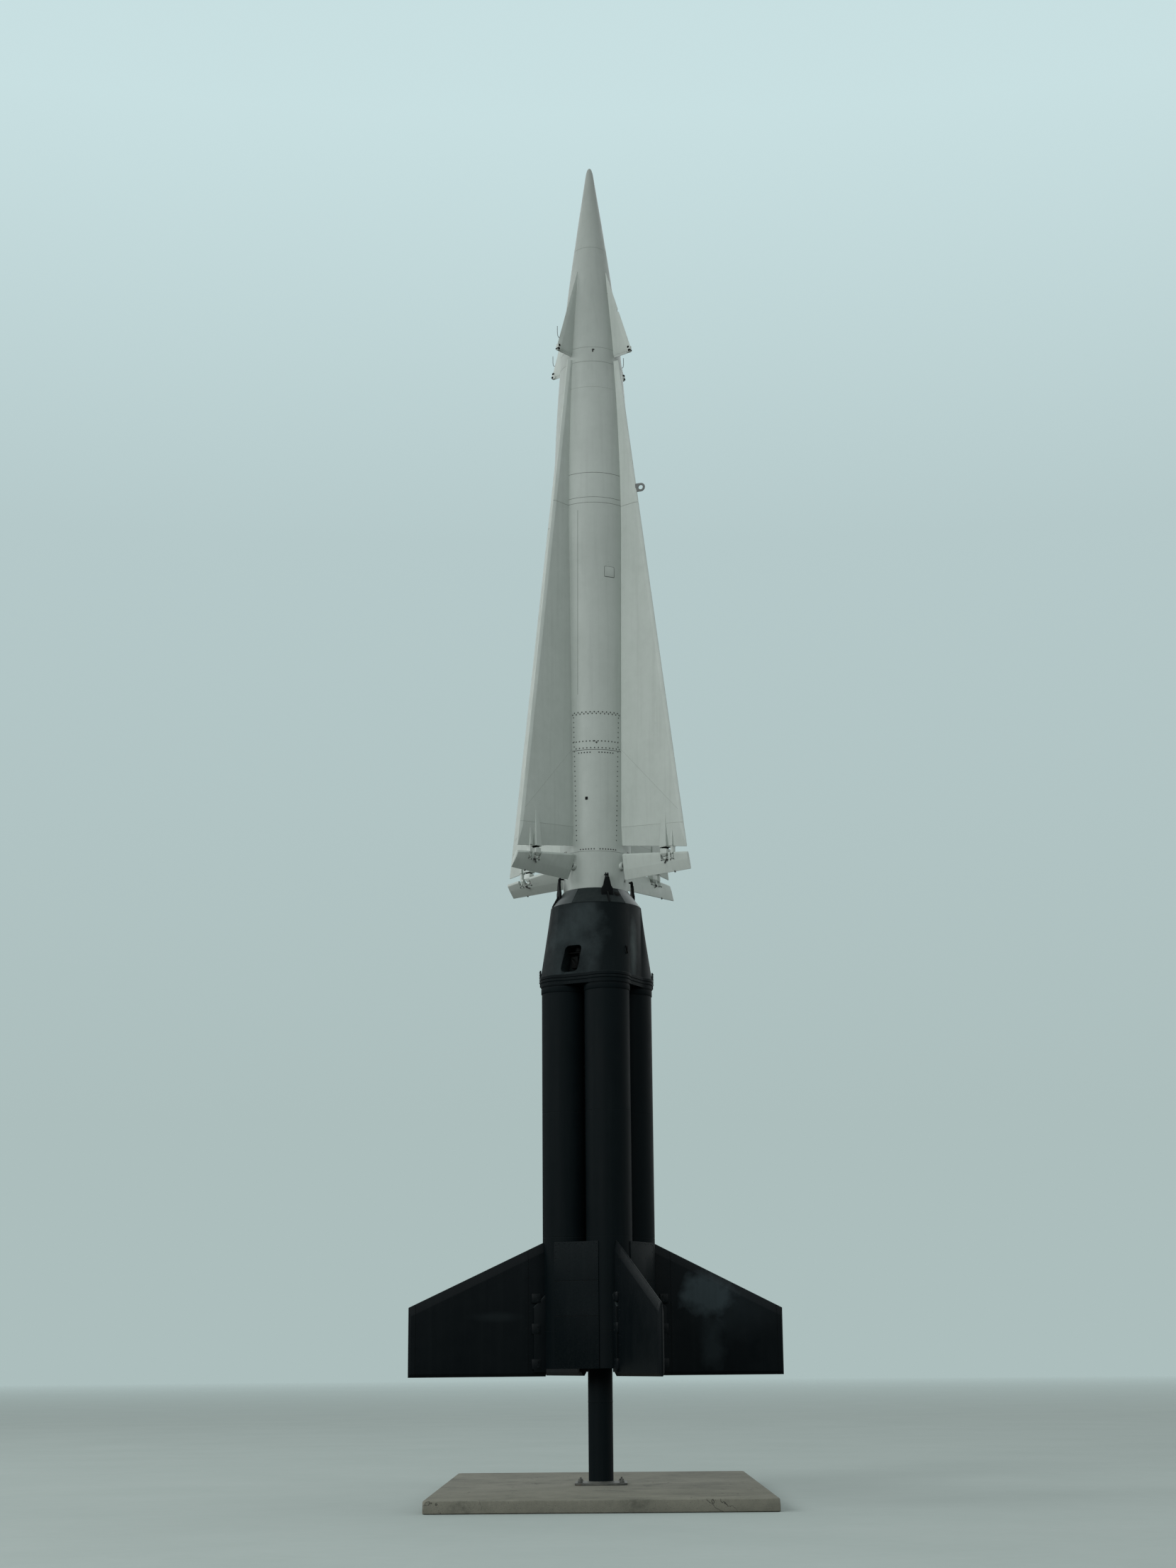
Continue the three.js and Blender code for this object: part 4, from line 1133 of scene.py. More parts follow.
def make_booster_fins():
    f, g, lugs = FIN, FIN_FITTING, FIN_LUG
    root_top = f["tip_top"] + (f["tip"] - f["root"]) * f["slope"]
    outline = [(f["root"], f["bottom"]), (f["tip"], f["bottom"]), (f["tip"], f["tip_top"]),
               (f["root"], root_top)]
    plate = blade("fin_template", outline, f["bevels"], f["thick"], f["edge"])
    ease_edges(plate, 2.2, 2, 8)
    paint(plate, FIN_PAINT, BLACK_SEAM_AND_SHADE)
    for seam in f["seams"]:
        groove(plate, spot(seam, 0, 1200), (1, 0, 0), 4, on_flat)
    half = g["half"]
    fitting = block("fin_fitting", (f["root"] + 6, -half, g["bottom"]), (g["outer"], half, g["top"]))
    shave(fitting, spot(g["outer"], 0, g["elbow"]), (1, 0, 1))
    for side in (-1, 1):
        shave(fitting, spot(0, side * g["top_half"], g["top"]), way(0, side, 0.18))
    ease_edges(fitting, 5, 3)
    paint(fitting, FIN_PAINT, SHOULDER_HIGHLIGHT_PAINT)
    # The fitting's sloping top faces get the lighter black: a painted highlight.
    repaint(fitting, lambda face: face.normal.z > 0.2 and face.normal.x > 0.6)
    parts = [plate, fitting]
    bolts = on_faces([(lugs["bolt"], height) for height in FIN_BOLTS], 2 * half - 2)
    parts.append(paint(stamp("fin_bolts", BOLT, bolts), FIN_PAINT))
    rivets = on_faces([(x, 1040 + 74 * k) for x in (652, 684) for k in range(13)], f["thick"])
    parts.append(paint(stamp("fin_rivets", RIVET, rivets), FIN_PAINT))
    for low, high in FIN_LUGS:
        lug = block("fin_lug", (lugs["inner"], -half - 4, low), (lugs["outer"], half + 4, high))
        for side in (-1, 1):
            shave(lug, spot(lugs["outer"], side * (half - 9), 0), way(0.42, side, 0))
        parts.append(paint(ease_edges(lug, 4), FIN_PAINT))
    fin = join("fin_template", parts)
    set_round(fin, "stabilising_fin_", BOOSTER_TURN, "booster_fin_", 24)


LOBE_SIDES = 124
LOBE_STEP = 360 / LOBE_SIDES


def lobe_radius(step, lobe, flat):
    """The radius of the lobed outline so many steps from the nearest tube's direction."""
    angle = math.radians(LOBE_STEP * step)
    centre = TUBE["centre"]
    meet = math.radians(45) + math.acos((flat - centre * math.sqrt(0.5)) / lobe)
    crease = math.atan2(lobe * math.sin(meet), centre + lobe * math.cos(meet))
    if angle > crease + 0.001:
        return flat / math.cos(math.radians(45) - angle)
    return centre * math.cos(angle) + math.sqrt(lobe ** 2 - (centre * math.sin(angle)) ** 2)


def lobe_step(point):
    """How many steps a point of the ring lies from the nearest tube's direction."""
    angle = math.degrees(math.atan2(point.y, point.x)) % 90
    return round(min(angle, 90 - angle) / LOBE_STEP * 2) / 2


def shape_ring(piece, height, radius_of):
    """Moves the points of the ring at a height in or out, group by group."""
    chosen = {}
    radii = {}
    for vert in bmesh.from_edit_mesh(piece.data).verts:
        if vert.select:
            chosen[vert.index] = lobe_step(vert.co)
            radii.setdefault(chosen[vert.index], vert.co.xy.length / MM)
    for step, radius in radii.items():
        grow = radius_of(step) / radius
        pick(piece, "VERT", lambda vert: chosen.get(vert.index) == step)
        bpy.ops.transform.resize(value=(grow, grow, 1), center_override=spot(0, 0, height))
    pick(piece, "VERT", lambda vert: vert.index in chosen)
    bpy.ops.mesh.select_mode(type="FACE")


def lobed_stack(name, rings):
    """A form with four lobes drawn up ring by ring. Each ring is a height and its radius at each step."""
    height, radius_of = rings[0]
    clear_bench()
    bpy.ops.mesh.primitive_circle_add(vertices=LOBE_SIDES, radius=0.4, fill_type="NGON",
                                      location=spot(0, 0, height), rotation=(0, 0, math.radians(90)))
    piece = new_piece(name)
    take_up(piece)
    shape_ring(piece, height, radius_of)
    for next_height, next_radius_of in rings[1:]:
        draw_out((0, 0, (next_height - height) * MM))
        bmesh.from_edit_mesh(piece.data).verts.index_update()
        shape_ring(piece, next_height, next_radius_of)
        height = next_height
    return put_down(piece)


def lobes(lobe, flat):
    return lambda step: lobe_radius(step, lobe, flat)


def plain_ring(radius):
    return lambda step: radius


def make_flange():
    f = FLANGE
    ledge, lobe, flat = f["ledge"], f["lobe"], f["flat"]
    small, wide, eased = (lobes(lobe + more, flat + more) for more in (0, f["growth"], f["growth"] - 3))
    rings = [(f["bottom"], small), (ledge - 6, small), (ledge, wide), (ledge + 12, wide),
             (ledge + 16, small), (ledge + 24, small), (ledge + 28, wide), (f["top"] - 3, wide),
             (f["top"], eased)]
    places = []
    for turn in (90, 180, 270, 360):
        for step in (-24, -12, 0, 12, 24):
            places.append(on_radius(turn + step, small(abs(step) / LOBE_STEP), ledge - 20))
        for step in (37, 45, 53):
            places.append(on_radius(turn + step, flat / math.cos(math.radians(45 - step)), ledge - 20))
    parts = [paint(lobed_stack("flange_template", rings), BOOSTER_PAINT),
             paint(stamp("flange_bolts", FLUSH_RIVET, places), ADAPTER_PAINT)]
    # The toothed strip that joins the band's halves, on the side of each lobe.
    strip = block("toothed_strip", (lobe - 6, -13, f["bottom"] + 6), (lobe + 7, 13, f["top"] + 70))
    teeth = [ease_edges(strip, 2)]
    for k in range(8):
        low = ledge + 2 + 15 * k
        teeth.append(ease_edges(block("strip_tooth", (lobe, -10, low), (lobe + 13, 10, low + 8)), 2))
    strip = paint(join("toothed_strip", teeth), ADAPTER_PAINT)
    to_lobe = Matrix.Translation((TUBE["centre"] * MM, 0, 0)) @ turned(-BOOSTER_TURN, "Z")
    parts += [own_copy(strip, "toothed_strip_copy", turned(turn, "Z") @ to_lobe) for turn in (90, 270)]
    discard(strip)
    flange = placed(join("flange_template", parts), "head_flange", outward_at(BOOSTER_TURN))
    finish(flange, stands_for="booster_flange", angle=20)


def make_adapter():
    a, p, s = ADAPTER, PORT, SLOT
    wide, narrow, low, high = a["shoulder_radius"], a["rim_radius"], a["shoulder"], a["rim"]
    rings = [(a["bottom"], lobes(a["lobe"], a["flat"])), (low, plain_ring(wide)),
             (low + 3, plain_ring(wide - 1)), (high - 4, plain_ring(narrow + 4)), (high, plain_ring(narrow))]
    shell = paint(lobed_stack("adapter_template", rings), ADAPTER_PAINT, SHOULDER_HIGHLIGHT_PAINT)
    # The shoulder's sloping faces get the lighter black: a painted highlight.
    repaint(shell, lambda face: 0.3 < face.normal.z < 0.95)
    half, middle = p["width"] / 2, (p["bottom"] + p["top"]) / 2
    port = block("port_tool", (p["floor"], p["across"] - half, p["bottom"]),
                 (a["outside"], p["across"] + half, p["top"]))
    take_up(port)
    for side in (-1, 1):
        pick(port, "VERT", lambda vert: (vert.co.z - spot(0, 0, middle).z) * side > 0)
        bpy.ops.transform.translate(value=(0, side * p["lean"] * MM, 0))
    pick(port, "EDGE", lambda edge: abs((edge.verts[0].co - edge.verts[1].co).x) > 0.1)
    bpy.ops.mesh.bevel(offset=p["corner"] * MM, segments=8, affect="EDGES")
    put_down(port)
    half = s["width"] / 2
    slot = block("slot_tool", (s["inner"], -half, s["bottom"]), (a["outside"], half, s["top"]))
    for tool, azimuth in ((port, p["azimuth"]), (slot, s["azimuth"])):
        tool.matrix_world = turned(azimuth - BOOSTER_TURN, "Z")
        cut_away(shell, tool)
    shell = placed(shell, "adapter_shell", outward_at(BOOSTER_TURN))
    make_slot_rim(shell)
    finish(shell, stands_for="adapter", angle=20)


def make_slot_rim(shell):
    """The oval rubber rim round the sight slot."""
    inner, outer = SLOT_RIM["inner"], SLOT_RIM["outer"]
    steps = ((inner, 6), (inner + 2, 1.5), (outer - 2, 0), (outer, -2), (outer, -5.5), (inner, 0))
    rim = open_ring("slot_rim", inner, -2, steps, 40, SLOT_RIM["tall"])
    beside = spot(ADAPTER["shoulder_radius"] + 60, 0, (SLOT["bottom"] + SLOT["top"]) / 2)
    _, surface, normal, _ = shell.closest_point_on_mesh(outward_at(SLOT["azimuth"]) @ beside)
    outward = Vector(normal).normalized()
    upward = (Vector((0, 0, 1)) - outward * outward.z).normalized()
    facing = Matrix((upward.cross(outward), upward, outward)).transposed().to_4x4()
    rim = placed(rim, "sight_slot_rim", Matrix.Translation(surface) @ facing)
    finish(paint(rim, BLACK_SEAM_AND_SHADE))


def in_port(x, aside, height):
    """A point beside the port's middle line."""
    return x, PORT["across"] + aside, height


def make_port_fittings():
    """What shows in the open port: a box, a shelf, two connectors and a loop of cable, all near-black as
    painted shade in the port's recess.
    """
    pieces = [ease_edges(block(name, in_port(*low), in_port(*high)), eased)
              for name, low, high, eased in PORT_BOXES]
    across, aside, rings = PORT_PUMP
    pieces.append(ring_stack("port_pump", rings, 24, in_port(across, aside, 0)[:2]))
    pieces += [rod(name, [spot(*in_port(*knot)) for knot in knots], thick)
               for name, thick, knots in PORT_LINES]
    fittings = join("port_fittings", [paint(piece, BLACK_SEAM_AND_SHADE) for piece in pieces])
    finish(placed(fittings, "port_equipment", outward_at(PORT["azimuth"])))


def make_adapter_trim():
    """The screws and the matte cover plate on the shoulder, and a small hatch in the plate."""
    a = ADAPTER
    wide, narrow, low, high = a["shoulder_radius"], a["rim_radius"], a["shoulder"], a["rim"]
    slope = math.degrees(math.atan2(wide - narrow, high - low))
    places = [on_radius(azimuth, radius, height, -slope) for azimuth in range(5, 360, 10)
              for radius, height in ((wide - 12, low + 16), (narrow + 14, high - 18))]
    finish(paint(stamp("shoulder_screws", FLUSH_RIVET, places), SHOULDER_HIGHLIGHT_PAINT))
    # The raised cover plate: a wedge of a slightly larger cone.
    rings = [(wide - 2, low - 5), (wide + 3, low - 4), (wide + 3.5, low + 1), (narrow + 4.5, high - 3),
             (narrow + 1, high - 1)]
    cover = ring_stack("shoulder_cover", rings, 144)
    for azimuth, side in COVER_ENDS:
        shave(cover, (0, 0, 0), outward_at(azimuth).to_3x3() @ Vector((0, side, 0)))
    finish(paint(cover, COVER_PAINT), angle=20)
    hatch = lay(ease_edges(block("shoulder_hatch", (-26, 0, -20), (26, 3, 20)), 1), 90, "X")
    place = on_radius(HATCH_AZIMUTH, (wide + narrow) / 2 + 4, (low + high) / 2 + 14, -slope)
    finish(paint(placed(hatch, "shoulder_hatch_cover", place), BLACK_SEAM_AND_SHADE))


def make_hooks():
    h, t, rib = HOOK, HOOK_TOOTH, HOOK_RIB
    inner, outer, top = h["inner"], h["outer"], h["top"]
    upright = block("hook_upright", (inner, -h["half"], h["foot"]), (outer, h["half"], h["flare"]))
    take_up(upright)
    pick(upright, "FACE", lambda face: face.normal.z > 0.9)
    stops = ((h["half"], h["flare"]), (h["waist_half"], h["waist"]), (h["shoulder_half"], h["shoulder"]))
    for (half, low), (next_half, high) in zip(stops, stops[1:]):
        draw_out((0, 0, (high - low) * MM), (1, next_half / half, 1), spot((inner + outer) / 2, 0, high))
    put_down(upright)
    parts = [ease_edges(upright, 3)]
    for side in (-1, 1):
        near, far = sorted((side * t["near"], side * t["far"]))
        prong = block("hook_prong", (inner - 4, near, h["shoulder"] - 14), (outer - 3, far, top))
        shave(prong, spot(outer - 3, 0, top - 16), way(1, 0, 0.7))
        tooth = block("hook_tooth", (t["inner"], near, t["bottom"]), (inner, far, t["top"]))
        parts += [ease_edges(prong, 2), ease_edges(tooth, 2)]
    strut = block("hook_rib", (inner + 4, -rib["half"], rib["bottom"]),
                  (rib["outer"], rib["half"], h["flare"] - 30))
    shave(strut, spot(rib["corner"], 0, rib["bottom"] + 4), way(*rib["normal"]))
    parts.append(ease_edges(strut, 2.5))
    places = [at(outer, y, height) @ OUTWARD for y, height in HOOK_BOLTS]
    parts.append(stamp("hook_bolts", FLUSH_RIVET, places))
    hook = join("hook_template", [paint(part, HOOK_BLACK) for part in parts])
    set_round(hook, "separation_hook_", BOOSTER_TURN, "release_hook_")


# The upper stage.

def body_radius(height):
    """Straight tapers below, and an ogive's arc above them."""
    b = BODY
    ogive_base = b["apex"] - b["ogive"]
    if height < b["taper_end"]:
        share = (height - b["tail"]) / (b["taper_end"] - b["tail"])
        return b["tail_radius"] + share * (b["taper_radius"] - b["tail_radius"])
    if height < ogive_base:
        share = (height - b["taper_end"]) / (ogive_base - b["taper_end"])
        return b["taper_radius"] + share * (b["radius"] - b["taper_radius"])
    arc = (b["radius"] ** 2 + b["ogive"] ** 2) / (2 * b["radius"])
    return math.sqrt(arc ** 2 - (height - ogive_base) ** 2) + b["radius"] - arc


def section_rings(low, low_gap, high, high_gap, lines):
    """[radius, height] pairs up a section: chamfered ends, and its sunk lines."""
    count = int((high - low) / RING_PITCH)
    stops = [low + low_gap, high - high_gap] + [low + (high - low) * k / count for k in range(1, count)]
    rings = [(body_radius(height), height) for height in stops
             if all(abs(height - line) >= 12 for line, _ in lines)]
    for line, wide in lines:
        full = body_radius(line)
        for far, deep in ((wide / 2 + 1, 0), (wide / 2, LINE_DEEP)):
            rings += [(full - deep, line - far), (full - deep, line + far)]
    rings += [(body_radius(low) - SEAM_DEEP, low + 0.3), (body_radius(high) - SEAM_DEEP, high - 0.3)]
    return sorted(rings, key=lambda ring: ring[1])


def make_body():
    for name, (low, low_gap), (high, high_gap), lines in SECTIONS:
        skin = ring_stack(name + "_skin", section_rings(low, low_gap, high, high_gap, lines), 96)
        paint(skin, STAGE_PAINT, SEAM_GRIME, FAINT_SEAM)

        def in_seam(face):
            height = face_height(face)
            at_end = height < low + low_gap * 0.9 or height > high - high_gap * 0.9
            sunk = any(abs(height - line) < 1.5 for line, _ in lines)
            return abs(face.normal.z) <= 0.9 and (at_end or sunk)

        repaint(skin, in_seam)
        repaint(skin, lambda face: face.material_index == 1 and face_height(face) > FAINT_ABOVE, 2)
        if name == "tail_section":
            skin = add_bosses(skin)
        finish(skin, stands_for=name)


def add_bosses(skin):
    """The round bosses that carry the elevons' inner pivots."""
    boss = lay(ring_stack("boss_template", BOSS_RINGS, 40), 90, "Y", spot(0, 0, HINGE_HEIGHT))
    paint(boss, STAGE_PAINT, SEAM_GRIME)
    bosses = [own_copy(boss, "boss", outward_at(WING_TURN + turn)) for _, turn in WINGS]
    discard(boss)
    return join("tail_section_skin", [skin] + bosses)


def make_nose():
    seam, gap = SECTIONS[-1][2]
    foot = [(body_radius(seam) - SEAM_DEEP, seam + 0.3), (body_radius(seam), seam + gap)]
    nose = ring_stack("nose_cone_skin", foot + list(NOSE_RINGS), 96)
    paint(nose, STAGE_PAINT, FAINT_SEAM)
    repaint(nose, lambda face: abs(face.normal.z) < 0.9 and face_height(face) < seam + gap * 0.9)
    finish(nose, stands_for="nose_cone")


def ring_of(height, pitch, start=0.0, end=360.0):
    """Places at an even pitch round the body at a height, leaving out where the wings stand."""
    places = []
    azimuth = start
    while azimuth < end - 0.01:
        beside_wing = abs((azimuth - WING_TURN + 45) % 90 - 45)
        if beside_wing > (5 if height < FORE_FIN["bottom"] else 3):
            places.append(on_radius(azimuth, body_radius(height), height))
        azimuth += pitch
    return places


def between(start, end, steps):
    """Azimuths and heights at even steps from one point of the body to another."""
    for k in range(steps + 1):
        yield [a + k / steps * (b - a) for a, b in zip(start, end)]


def make_body_fasteners():
    dark, flush = ([place for height, pitch, start in rows
                    for place in ring_of(height, pitch, start, start + 360)]
                   for rows in (DARK_ROWS, FLUSH_ROWS))
    faded, holes = [], []
    for _, turn in QUARTERS:
        for top, foot in RIVET_COLUMNS:
            column = between((turn + top, 6930), (turn + foot, 5750), 25)
            faded += [on_radius(azimuth, body_radius(height), height) for azimuth, height in column]
        for height, pitch, start, end in SCREW_ROWS:
            holes += ring_of(height, pitch, turn + start, turn + end)
    azimuth, height = LONE_SCREW
    holes.append(on_radius(azimuth, body_radius(height), height))
    for name, button, places, material in (
            ("body_rivets", DARK_RIVET, dark, RIVET_PAINT),
            ("column_rivets", DARK_RIVET, faded, FADED_RIVET_PAINT),
            ("flush_rivets", FLUSH_RIVET, flush, STAGE_PAINT),
            ("body_dark_screws", SCREW, holes, DARK_FITTING_AND_SHADE)):
        finish(paint(stamp(name, button, places), material))


def bend_round(sheet, reach):
    """Bends a sheet to the body, one row of points after another: each is turned about the body's axis."""
    rows = {}
    take_up(sheet)
    for vert in bmesh.from_edit_mesh(sheet.data).verts:
        rows.setdefault(round(vert.co.x, 6), set()).add(vert.index)
    for across, row in rows.items():
        pick(sheet, "VERT", lambda vert: vert.index in row)
        bpy.ops.transform.translate(value=(-across, 0, 0))
        # The operator counts the angle the other way round.
        bpy.ops.transform.rotate(value=-across / (reach * MM), orient_axis="Y",
                                 center_override=(0, 0, -reach * MM))
    put_down(sheet)


def curved_cover(name, azimuth, height, wide, tall, thick, corner):
    """A hatch that follows the body's curve, with rounded corners."""
    clear_bench()
    bpy.ops.mesh.primitive_plane_add(size=1)
    bpy.context.object.scale = (wide * MM, tall * MM, 1)
    sheet = new_piece(name)
    take_up(sheet)
    bpy.ops.mesh.select_mode(type="VERT")
    bpy.ops.mesh.select_all(action="SELECT")
    bpy.ops.mesh.bevel(offset=corner * MM, segments=4, affect="VERTICES")
    clear_bench()
    count = max(2, int(wide / 18))
    for k in range(1, count):
        score(sheet, ((k / count - 0.5) * wide * MM, 0, 0), (1, 0, 0))
    take_up(sheet)
    draw_out((0, 0, thick * MM))
    put_down(sheet)
    bend_round(sheet, body_radius(height))
    ease_edges(sheet, 0.8)
    return placed(sheet, name, on_radius(azimuth, body_radius(height), height))


def make_body_fittings():
    # The square cover is near-black: painted shade standing for a square hole.
    paints = {"service_hatch": STAGE_PAINT, "square_cover": BLACK_SEAM_AND_SHADE, "small_cover": RIVET_PAINT}
    for name, azimuth, height, wide, tall in HATCHES:
        margin = 8 if wide > 30 else 3
        rim = curved_cover(name + "_gap", azimuth, height, wide + margin, tall + margin, 0.8,
                           min(10, wide / 4))
        finish(paint(rim, SEAM_GRIME))
        cover = curved_cover(name, azimuth, height, wide, tall, 2.4, min(7, wide / 4))
        finish(paint(cover, paints.get(name, DARK_FITTING_AND_SHADE)))
    # The tail slot's cover is near-black: painted shade inside the slot.
    slot = curved_cover("tail_slot", *TAIL_SLOT)
    finish(paint(slot, BLACK_SEAM_AND_SHADE))
    strips = []
    for start, end in zip(SKIN_JOINT, SKIN_JOINT[1:]):
        points = [outward_at(azimuth) @ spot(body_radius(height) + 0.2, 0, height)
                  for azimuth, height in between(start, end, 12)]
        strips.append(rod("skin_joint", points, 1.3, 1))
    finish(paint(join("skin_joint", strips), SEAM_GRIME))


# The wings, elevons and forward fins.

def wing_edge(height):
    """The radius of the wing's leading edge at a height."""
    w = WING
    share = (w["apex_corner"] - height) / (w["apex_corner"] - w["tip_height"])
    return w["apex_radius"] + share * (w["tip"] - w["apex_radius"])


def make_arm(arm):
    """One hinge arm: a fairing on both faces of the wing, open at its rear and dark inside as painted shade,
    and the bracket in it.
    """
    inner, outer, proud, start = arm["inner"], arm["outer"], arm["proud"], arm["start"]
    fairing = block("arm_fairing", (inner, -proud, ARM_TOP - 22), (outer, proud, start))
    rise = start - ARM_TOP
    surface = WING["thick"] / 2 - 1
    for side, edge in ((-1, inner), (1, outer)):
        shave(fairing, spot(0, side * proud, ARM_TOP), way(0, side * rise, proud - surface))
        shave(fairing, spot(edge, 0, ARM_TOP), way(side * rise, 0, (outer - inner) * 0.27))
    ease_edges(fairing, 2)
    paint(fairing, WING_PAINT, DARK_FITTING_AND_SHADE)
    take_up(fairing)
    pick(fairing, "FACE", lambda face: face.normal.z < -0.9)
    bpy.ops.mesh.inset(thickness=4 * MM, depth=0)
    draw_out((0, 0, 46 * MM))

    def inside(face):
        middle = face.calc_center_median() / MM
        within = inner + 3 < middle.x < outer - 3 and abs(middle.y) < proud - 3
        return within and ARM_TOP - 21 < face_height(face) < ARM_TOP + 26 and face.normal.z < 0.05

    # The inside of the open rear gets the dark fitting paint: painted shade.
    pick(fairing, "FACE", inside)
    assign(fairing, 1)
    put_down(fairing)
    return [fairing] + make_knuckle(arm)


def make_knuckle(arm):
    """The pale bracket below a fairing, its neck painted near-black as painted shade in the gap, and the
    barrel round the hinge pin.
    """
    inner, outer, gap, radius = arm["inner"], arm["outer"], arm["gap"], BARREL["radius"]
    full = arm["proud"] - 8
    low = HINGE_HEIGHT + BARREL["knuckle"]
    top = ARM_TOP - 22 - gap if gap else ARM_TOP + 18
    knuckle = block("arm_knuckle", (inner + 3, -full, low), (outer - 3, full, top))
    for side, corner in ((-1, inner + 3), (1, outer - 3)):
        shave(knuckle, spot(0, side * 20, low), way(0, side * 27, 20 - full))
        # Rounded at the foot, as seen on the wing's face.
        shave(knuckle, spot(corner, 0, low + 24), way(side, 0, -0.85))
    if gap:
        shave(knuckle, spot(inner + 3, 0, top + 13), way(0.3, 0, 1))
    ease_edges(knuckle, min(7, (outer - inner) / 6), 4)
    pieces = [paint(knuckle, KNUCKLE_PAINT)]
    if gap:
        # The neck is painted near-black: painted shade in the gap behind the knuckle.
        neck = block("arm_neck", (inner + 12, -15, top - 12), (outer - 12, 15, ARM_TOP + 22))
        pieces.append(paint(neck, BLACK_SEAM_AND_SHADE))
    near, far = inner + arm["side"], outer - arm["side"]
    rings = [(radius - 4, near), (radius, near + 2), (radius, far - 2), (radius - 4, far)]
    barrel = lay(ring_stack("arm_barrel", rings, 32), 90, "Y", spot(0, 0, HINGE_HEIGHT))
    stem = block("arm_stem", (near, 3 - radius, HINGE_HEIGHT), (far, radius - 3, low + 12))
    return pieces + [paint(barrel, WING_PAINT), paint(stem, WING_PAINT)]


def make_wings():
    w = WING
    outline = [(w["inner"], w["root_height"]), (w["tip"], w["tip_height"]),
               (w["apex_radius"], w["apex_corner"]), (w["inner"], w["apex_top"])]
    plate = blade("wing_template", outline, (w["tail_bevel"], w["nose_bevel"], 10, 0), w["thick"], w["edge"])
    ease_edges(plate, 1.6, 2, 6)
    paint(plate, WING_PAINT, FAINT_SEAM)
    for (x, height), (run, rise), width, end in WING_SEAMS:
        groove(plate, spot(x, 0, height), (-rise, 0, run), width,
               lambda face: on_flat(face) and face.calc_center_median().x < end * MM)
    # Rivets down the leading edge, then along the seams.
    edge = [(wing_edge(height) - 98, height) for height in range(5900, 10461, 80)]
    points = [(x, height) for x, height in edge if x > body_radius(height) + 30]
    for (x, height), (run, drop), count in WING_RIVETS:
        points += [(x + run * k, height - drop * k) for k in range(count)]
    parts = [plate, paint(stamp("wing_rivets", FLUSH_RIVET, on_faces(points, w["thick"])), WING_PAINT)]
    for arm in HINGE_ARMS:
        parts += make_arm(arm)
    wing = join("wing_template", parts)
    set_round(wing, "delta_wing_", WING_TURN, "wing_", 20, WINGS)


def make_horns():
    horns = []
    for radius, knots in HORNS:
        for side in (-1, 1):
            points = [spot(along, side * off, height) for along, off, height in knots]
            horns.append(rod("elevon_horn", points, radius, 2))
    for side in (-1, 1):
        low, high = sorted((side * 14, side * 20))
        for near, far, foot in HORN_PADS:
            horns.append(ease_edges(block("horn_pad", (near, low, foot), (far, high, HORN_PAD_TOP)), 2))
    return [paint(horn, DARK_FITTING_AND_SHADE) for horn in horns]


def make_elevons():
    e, b = ELEVON, BARREL
    outline = [(e["inner"], e["bottom"]), (e["tail_tip"], e["bottom"]), (e["tip"], e["tip_top"]),
               (e["inner"], e["inner_top"])]
    bevels = (e["tail_bevel"], 4, e["nose_bevel"], 0)
    plate = blade("elevon_template", outline, bevels, e["thick"], e["edge"])
    for arm in HINGE_ARMS:
        # A wide slot that clears the knuckle, and a narrow one below it for the barrel.
        for narrowed, floor in ((0, b["wide_floor"]), (arm["side"], -b["radius"] - b["gap"])):
            low = (arm["inner"] + narrowed - b["gap"], -60, HINGE_HEIGHT + floor)
            cut_away(plate, block("slot_tool", low, (arm["outer"] - narrowed + b["gap"], 60, 5700)))
    take_up(plate)
    bpy.ops.mesh.remove_doubles(threshold=0.00001)
    put_down(plate)
    ease_edges(plate, 1.5, 2, 6)
    paint(plate, WING_PAINT, FAINT_SEAM)
    groove(plate, spot(e["inner"] + 42, 0, 5500), (1, 0, 0), 1.2, on_flat)
    parts = [plate] + make_horns()
    inner, outer = PIN["inner"], PIN["outer"]
    for name, rings, sides, material in (
            ("elevon_pin", [(8, inner), (9, inner + 1), (9, outer - 1), (8, outer)], 20, BARE_STEEL),
            ("elevon_shaft", [(13, 340.5), (14, 342), (14, e["inner"] + 40)], 28, DARK_FITTING_AND_SHADE)):
        bar = lay(ring_stack(name, rings, sides), 90, "Y", spot(0, 0, HINGE_HEIGHT))
        parts.append(paint(bar, material))
    nub = block("elevon_nub", (934, -6, e["bottom"] - 9), (946, 6, e["bottom"] + 10))
    parts.append(paint(ease_edges(nub, 2), DARK_FITTING_AND_SHADE))
    points = [(374, 5492)] + [(984 + 18 * k, 5488) for k in range(4)]
    for k in range(11):
        points += [(410 + 36 * k, 5488), (410 + 36 * k, 5578 - 3.2 * k)]
    parts.append(paint(stamp("elevon_rivets", FLUSH_RIVET, on_faces(points, e["thick"])), WING_PAINT))
    flap = join("elevon_template", parts)
    hinge = at(0, 0, HINGE_HEIGHT)
    for name, turn in WINGS:
        place = outward_at(WING_TURN + turn) @ hinge @ turned(DROOPS[name], "X") @ hinge.inverted()
        piece = own_copy(flap, "elevon_flap_" + name, place)
        finish(piece, body=name + "_elevon", stands_for="elevon_" + name, angle=20)
    discard(flap)


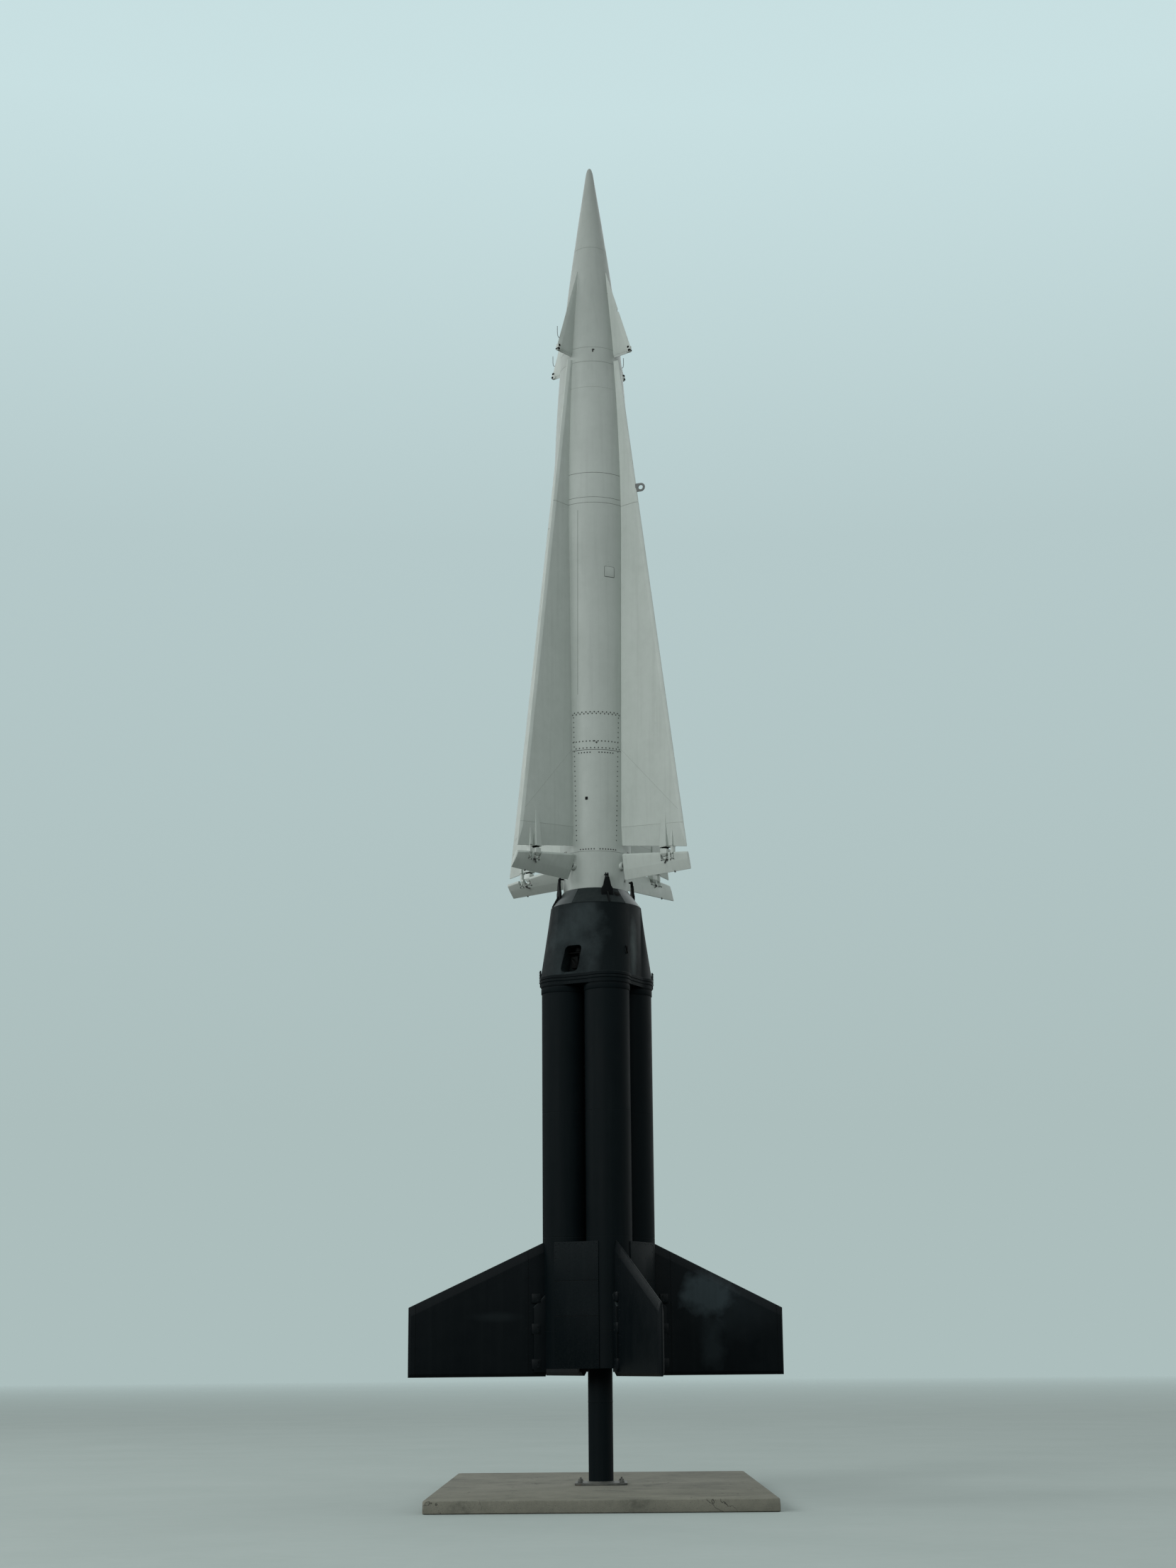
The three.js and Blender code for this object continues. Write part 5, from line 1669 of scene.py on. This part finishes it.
def make_fore_fins():
    f, t = FORE_FIN, FORE_FIN_TIP
    outline = [(f["inner"], f["bottom"]), (f["tip"], f["bottom"]), (f["tip"], f["tip_top"]),
               (f["inner"], f["root_height"])]
    plate = blade("fore_fin_template", outline, (f["bevel"], 8, f["bevel"], 0), f["thick"], f["edge"])
    ease_edges(plate, 1.2, 2, 10)
    paint(plate, WING_PAINT, FAINT_SEAM, SHADED_REAR)
    # The rear faces, always in shade, get darker paint: painted shade.
    repaint(plate, lambda face: face.normal.z < -0.4, 2)
    fitting = block("tip_fitting", (t["inner"], -t["half"], t["bottom"]),
                    (t["outer"] - 3, t["half"], t["top"]))
    shave(fitting, spot(t["inner"] + 20, 0, t["top"]), way(-1, 0, 1.4))
    parts = [plate, paint(ease_edges(fitting, 5, 3), KNUCKLE_PAINT)]
    half = t["half"] + 3
    for radius, across, height in TIP_SOCKETS:
        rings = [(radius - 3, -half), (radius - 1, -half), (radius, 2 - half), (radius, half - 2),
                 (radius - 1, half), (radius - 3, half)]
        socket = lay(ring_stack("tip_socket", rings, 24), 90, "X", spot(across, 0, height))
        parts.append(paint(socket, HOOK_BLACK))
    rivets = on_faces([(460 - 26 * k, 10650) for k in range(7)], f["thick"])
    parts.append(paint(stamp("fore_fin_rivets", FLUSH_RIVET, rivets), WING_PAINT))
    wire = rod("tip_wire", [spot(x, 0, height) for x, height in TIP_WIRE], 3.0)
    fin = join("fore_fin_template", parts + [paint(wire, WIRE_GREY)])
    for name, turn in WINGS:
        place = outward_at(WING_TURN + turn)
        piece = own_copy(fin, "forward_fin_" + name, place)
        if name == "front_right":
            chip_edge(piece, place)
        finish(piece, stands_for="fore_fin_" + name, angle=20)
    discard(fin)


def chip_edge(piece, turn):
    f, c = FORE_FIN, CHIP
    slope = (f["tip"] - f["inner"]) / (f["root_height"] - f["tip_top"])
    edge = f["tip"] - (c["low"] - f["tip_top"]) * slope
    tool = block("chip_tool", (edge - c["deep"], -30, c["low"]), (edge + 60, 30, c["high"]))
    shave(tool, spot(edge - c["deep"], 0, c["high"] - 22), way(-0.3, 0, 1))
    tool.matrix_world = turn
    cut_away(piece, tool)


def make_lug():
    """The ring lug on the right front wing's leading edge."""
    g = LUG
    half, hole, radius, thick = g["thick"] / 2, g["hole"], g["radius"], g["thick"]
    steps = ((hole + 3, -3), (radius - 3, 0), (radius, 3), (radius, thick - 6), (radius - 3, 3),
             (hole + 3, 0), (hole, -3), (hole, 6 - thick))
    eye = settle(open_ring("lug_eye", hole, 3 - half, steps, 48), turned(90, "X"))
    foot = block("lug_foot", (-g["stand"] - 11, 0.5 - half, -g["foot"]), (-2, half - 0.5, g["foot"]))
    lay(foot, 0, "X")
    clear_bench()
    bpy.ops.mesh.primitive_cylinder_add(vertices=48, radius=(hole + 2) * MM, depth=0.1,
                                        rotation=(math.radians(90), 0, 0))
    cut_away(foot, new_piece("lug_hole"))
    ease_edges(foot, 1.5)
    lug = join("lug_template", [eye, foot])
    place = outward_at(WING_TURN) @ at(wing_edge(g["height"]), 0, g["height"]) @ turned(g["turn"], "Z")
    lug = placed(lug, "ring_lug", place @ Matrix.Translation((g["stand"] * MM, 0, 0)))
    finish(paint(lug, LUG_GREY), stands_for="lifting_lug")


make_pad()
make_base_plate()
make_post()
make_tubes()
make_nozzles()
make_shrouds()
make_booster_fins()
make_flange()
make_adapter()
make_port_fittings()
make_adapter_trim()
make_hooks()
make_body()
make_nose()
make_body_fasteners()
make_body_fittings()
make_wings()
make_elevons()
make_fore_fins()
make_lug()
for template in TEMPLATES:
    discard(template)
clear_bench()
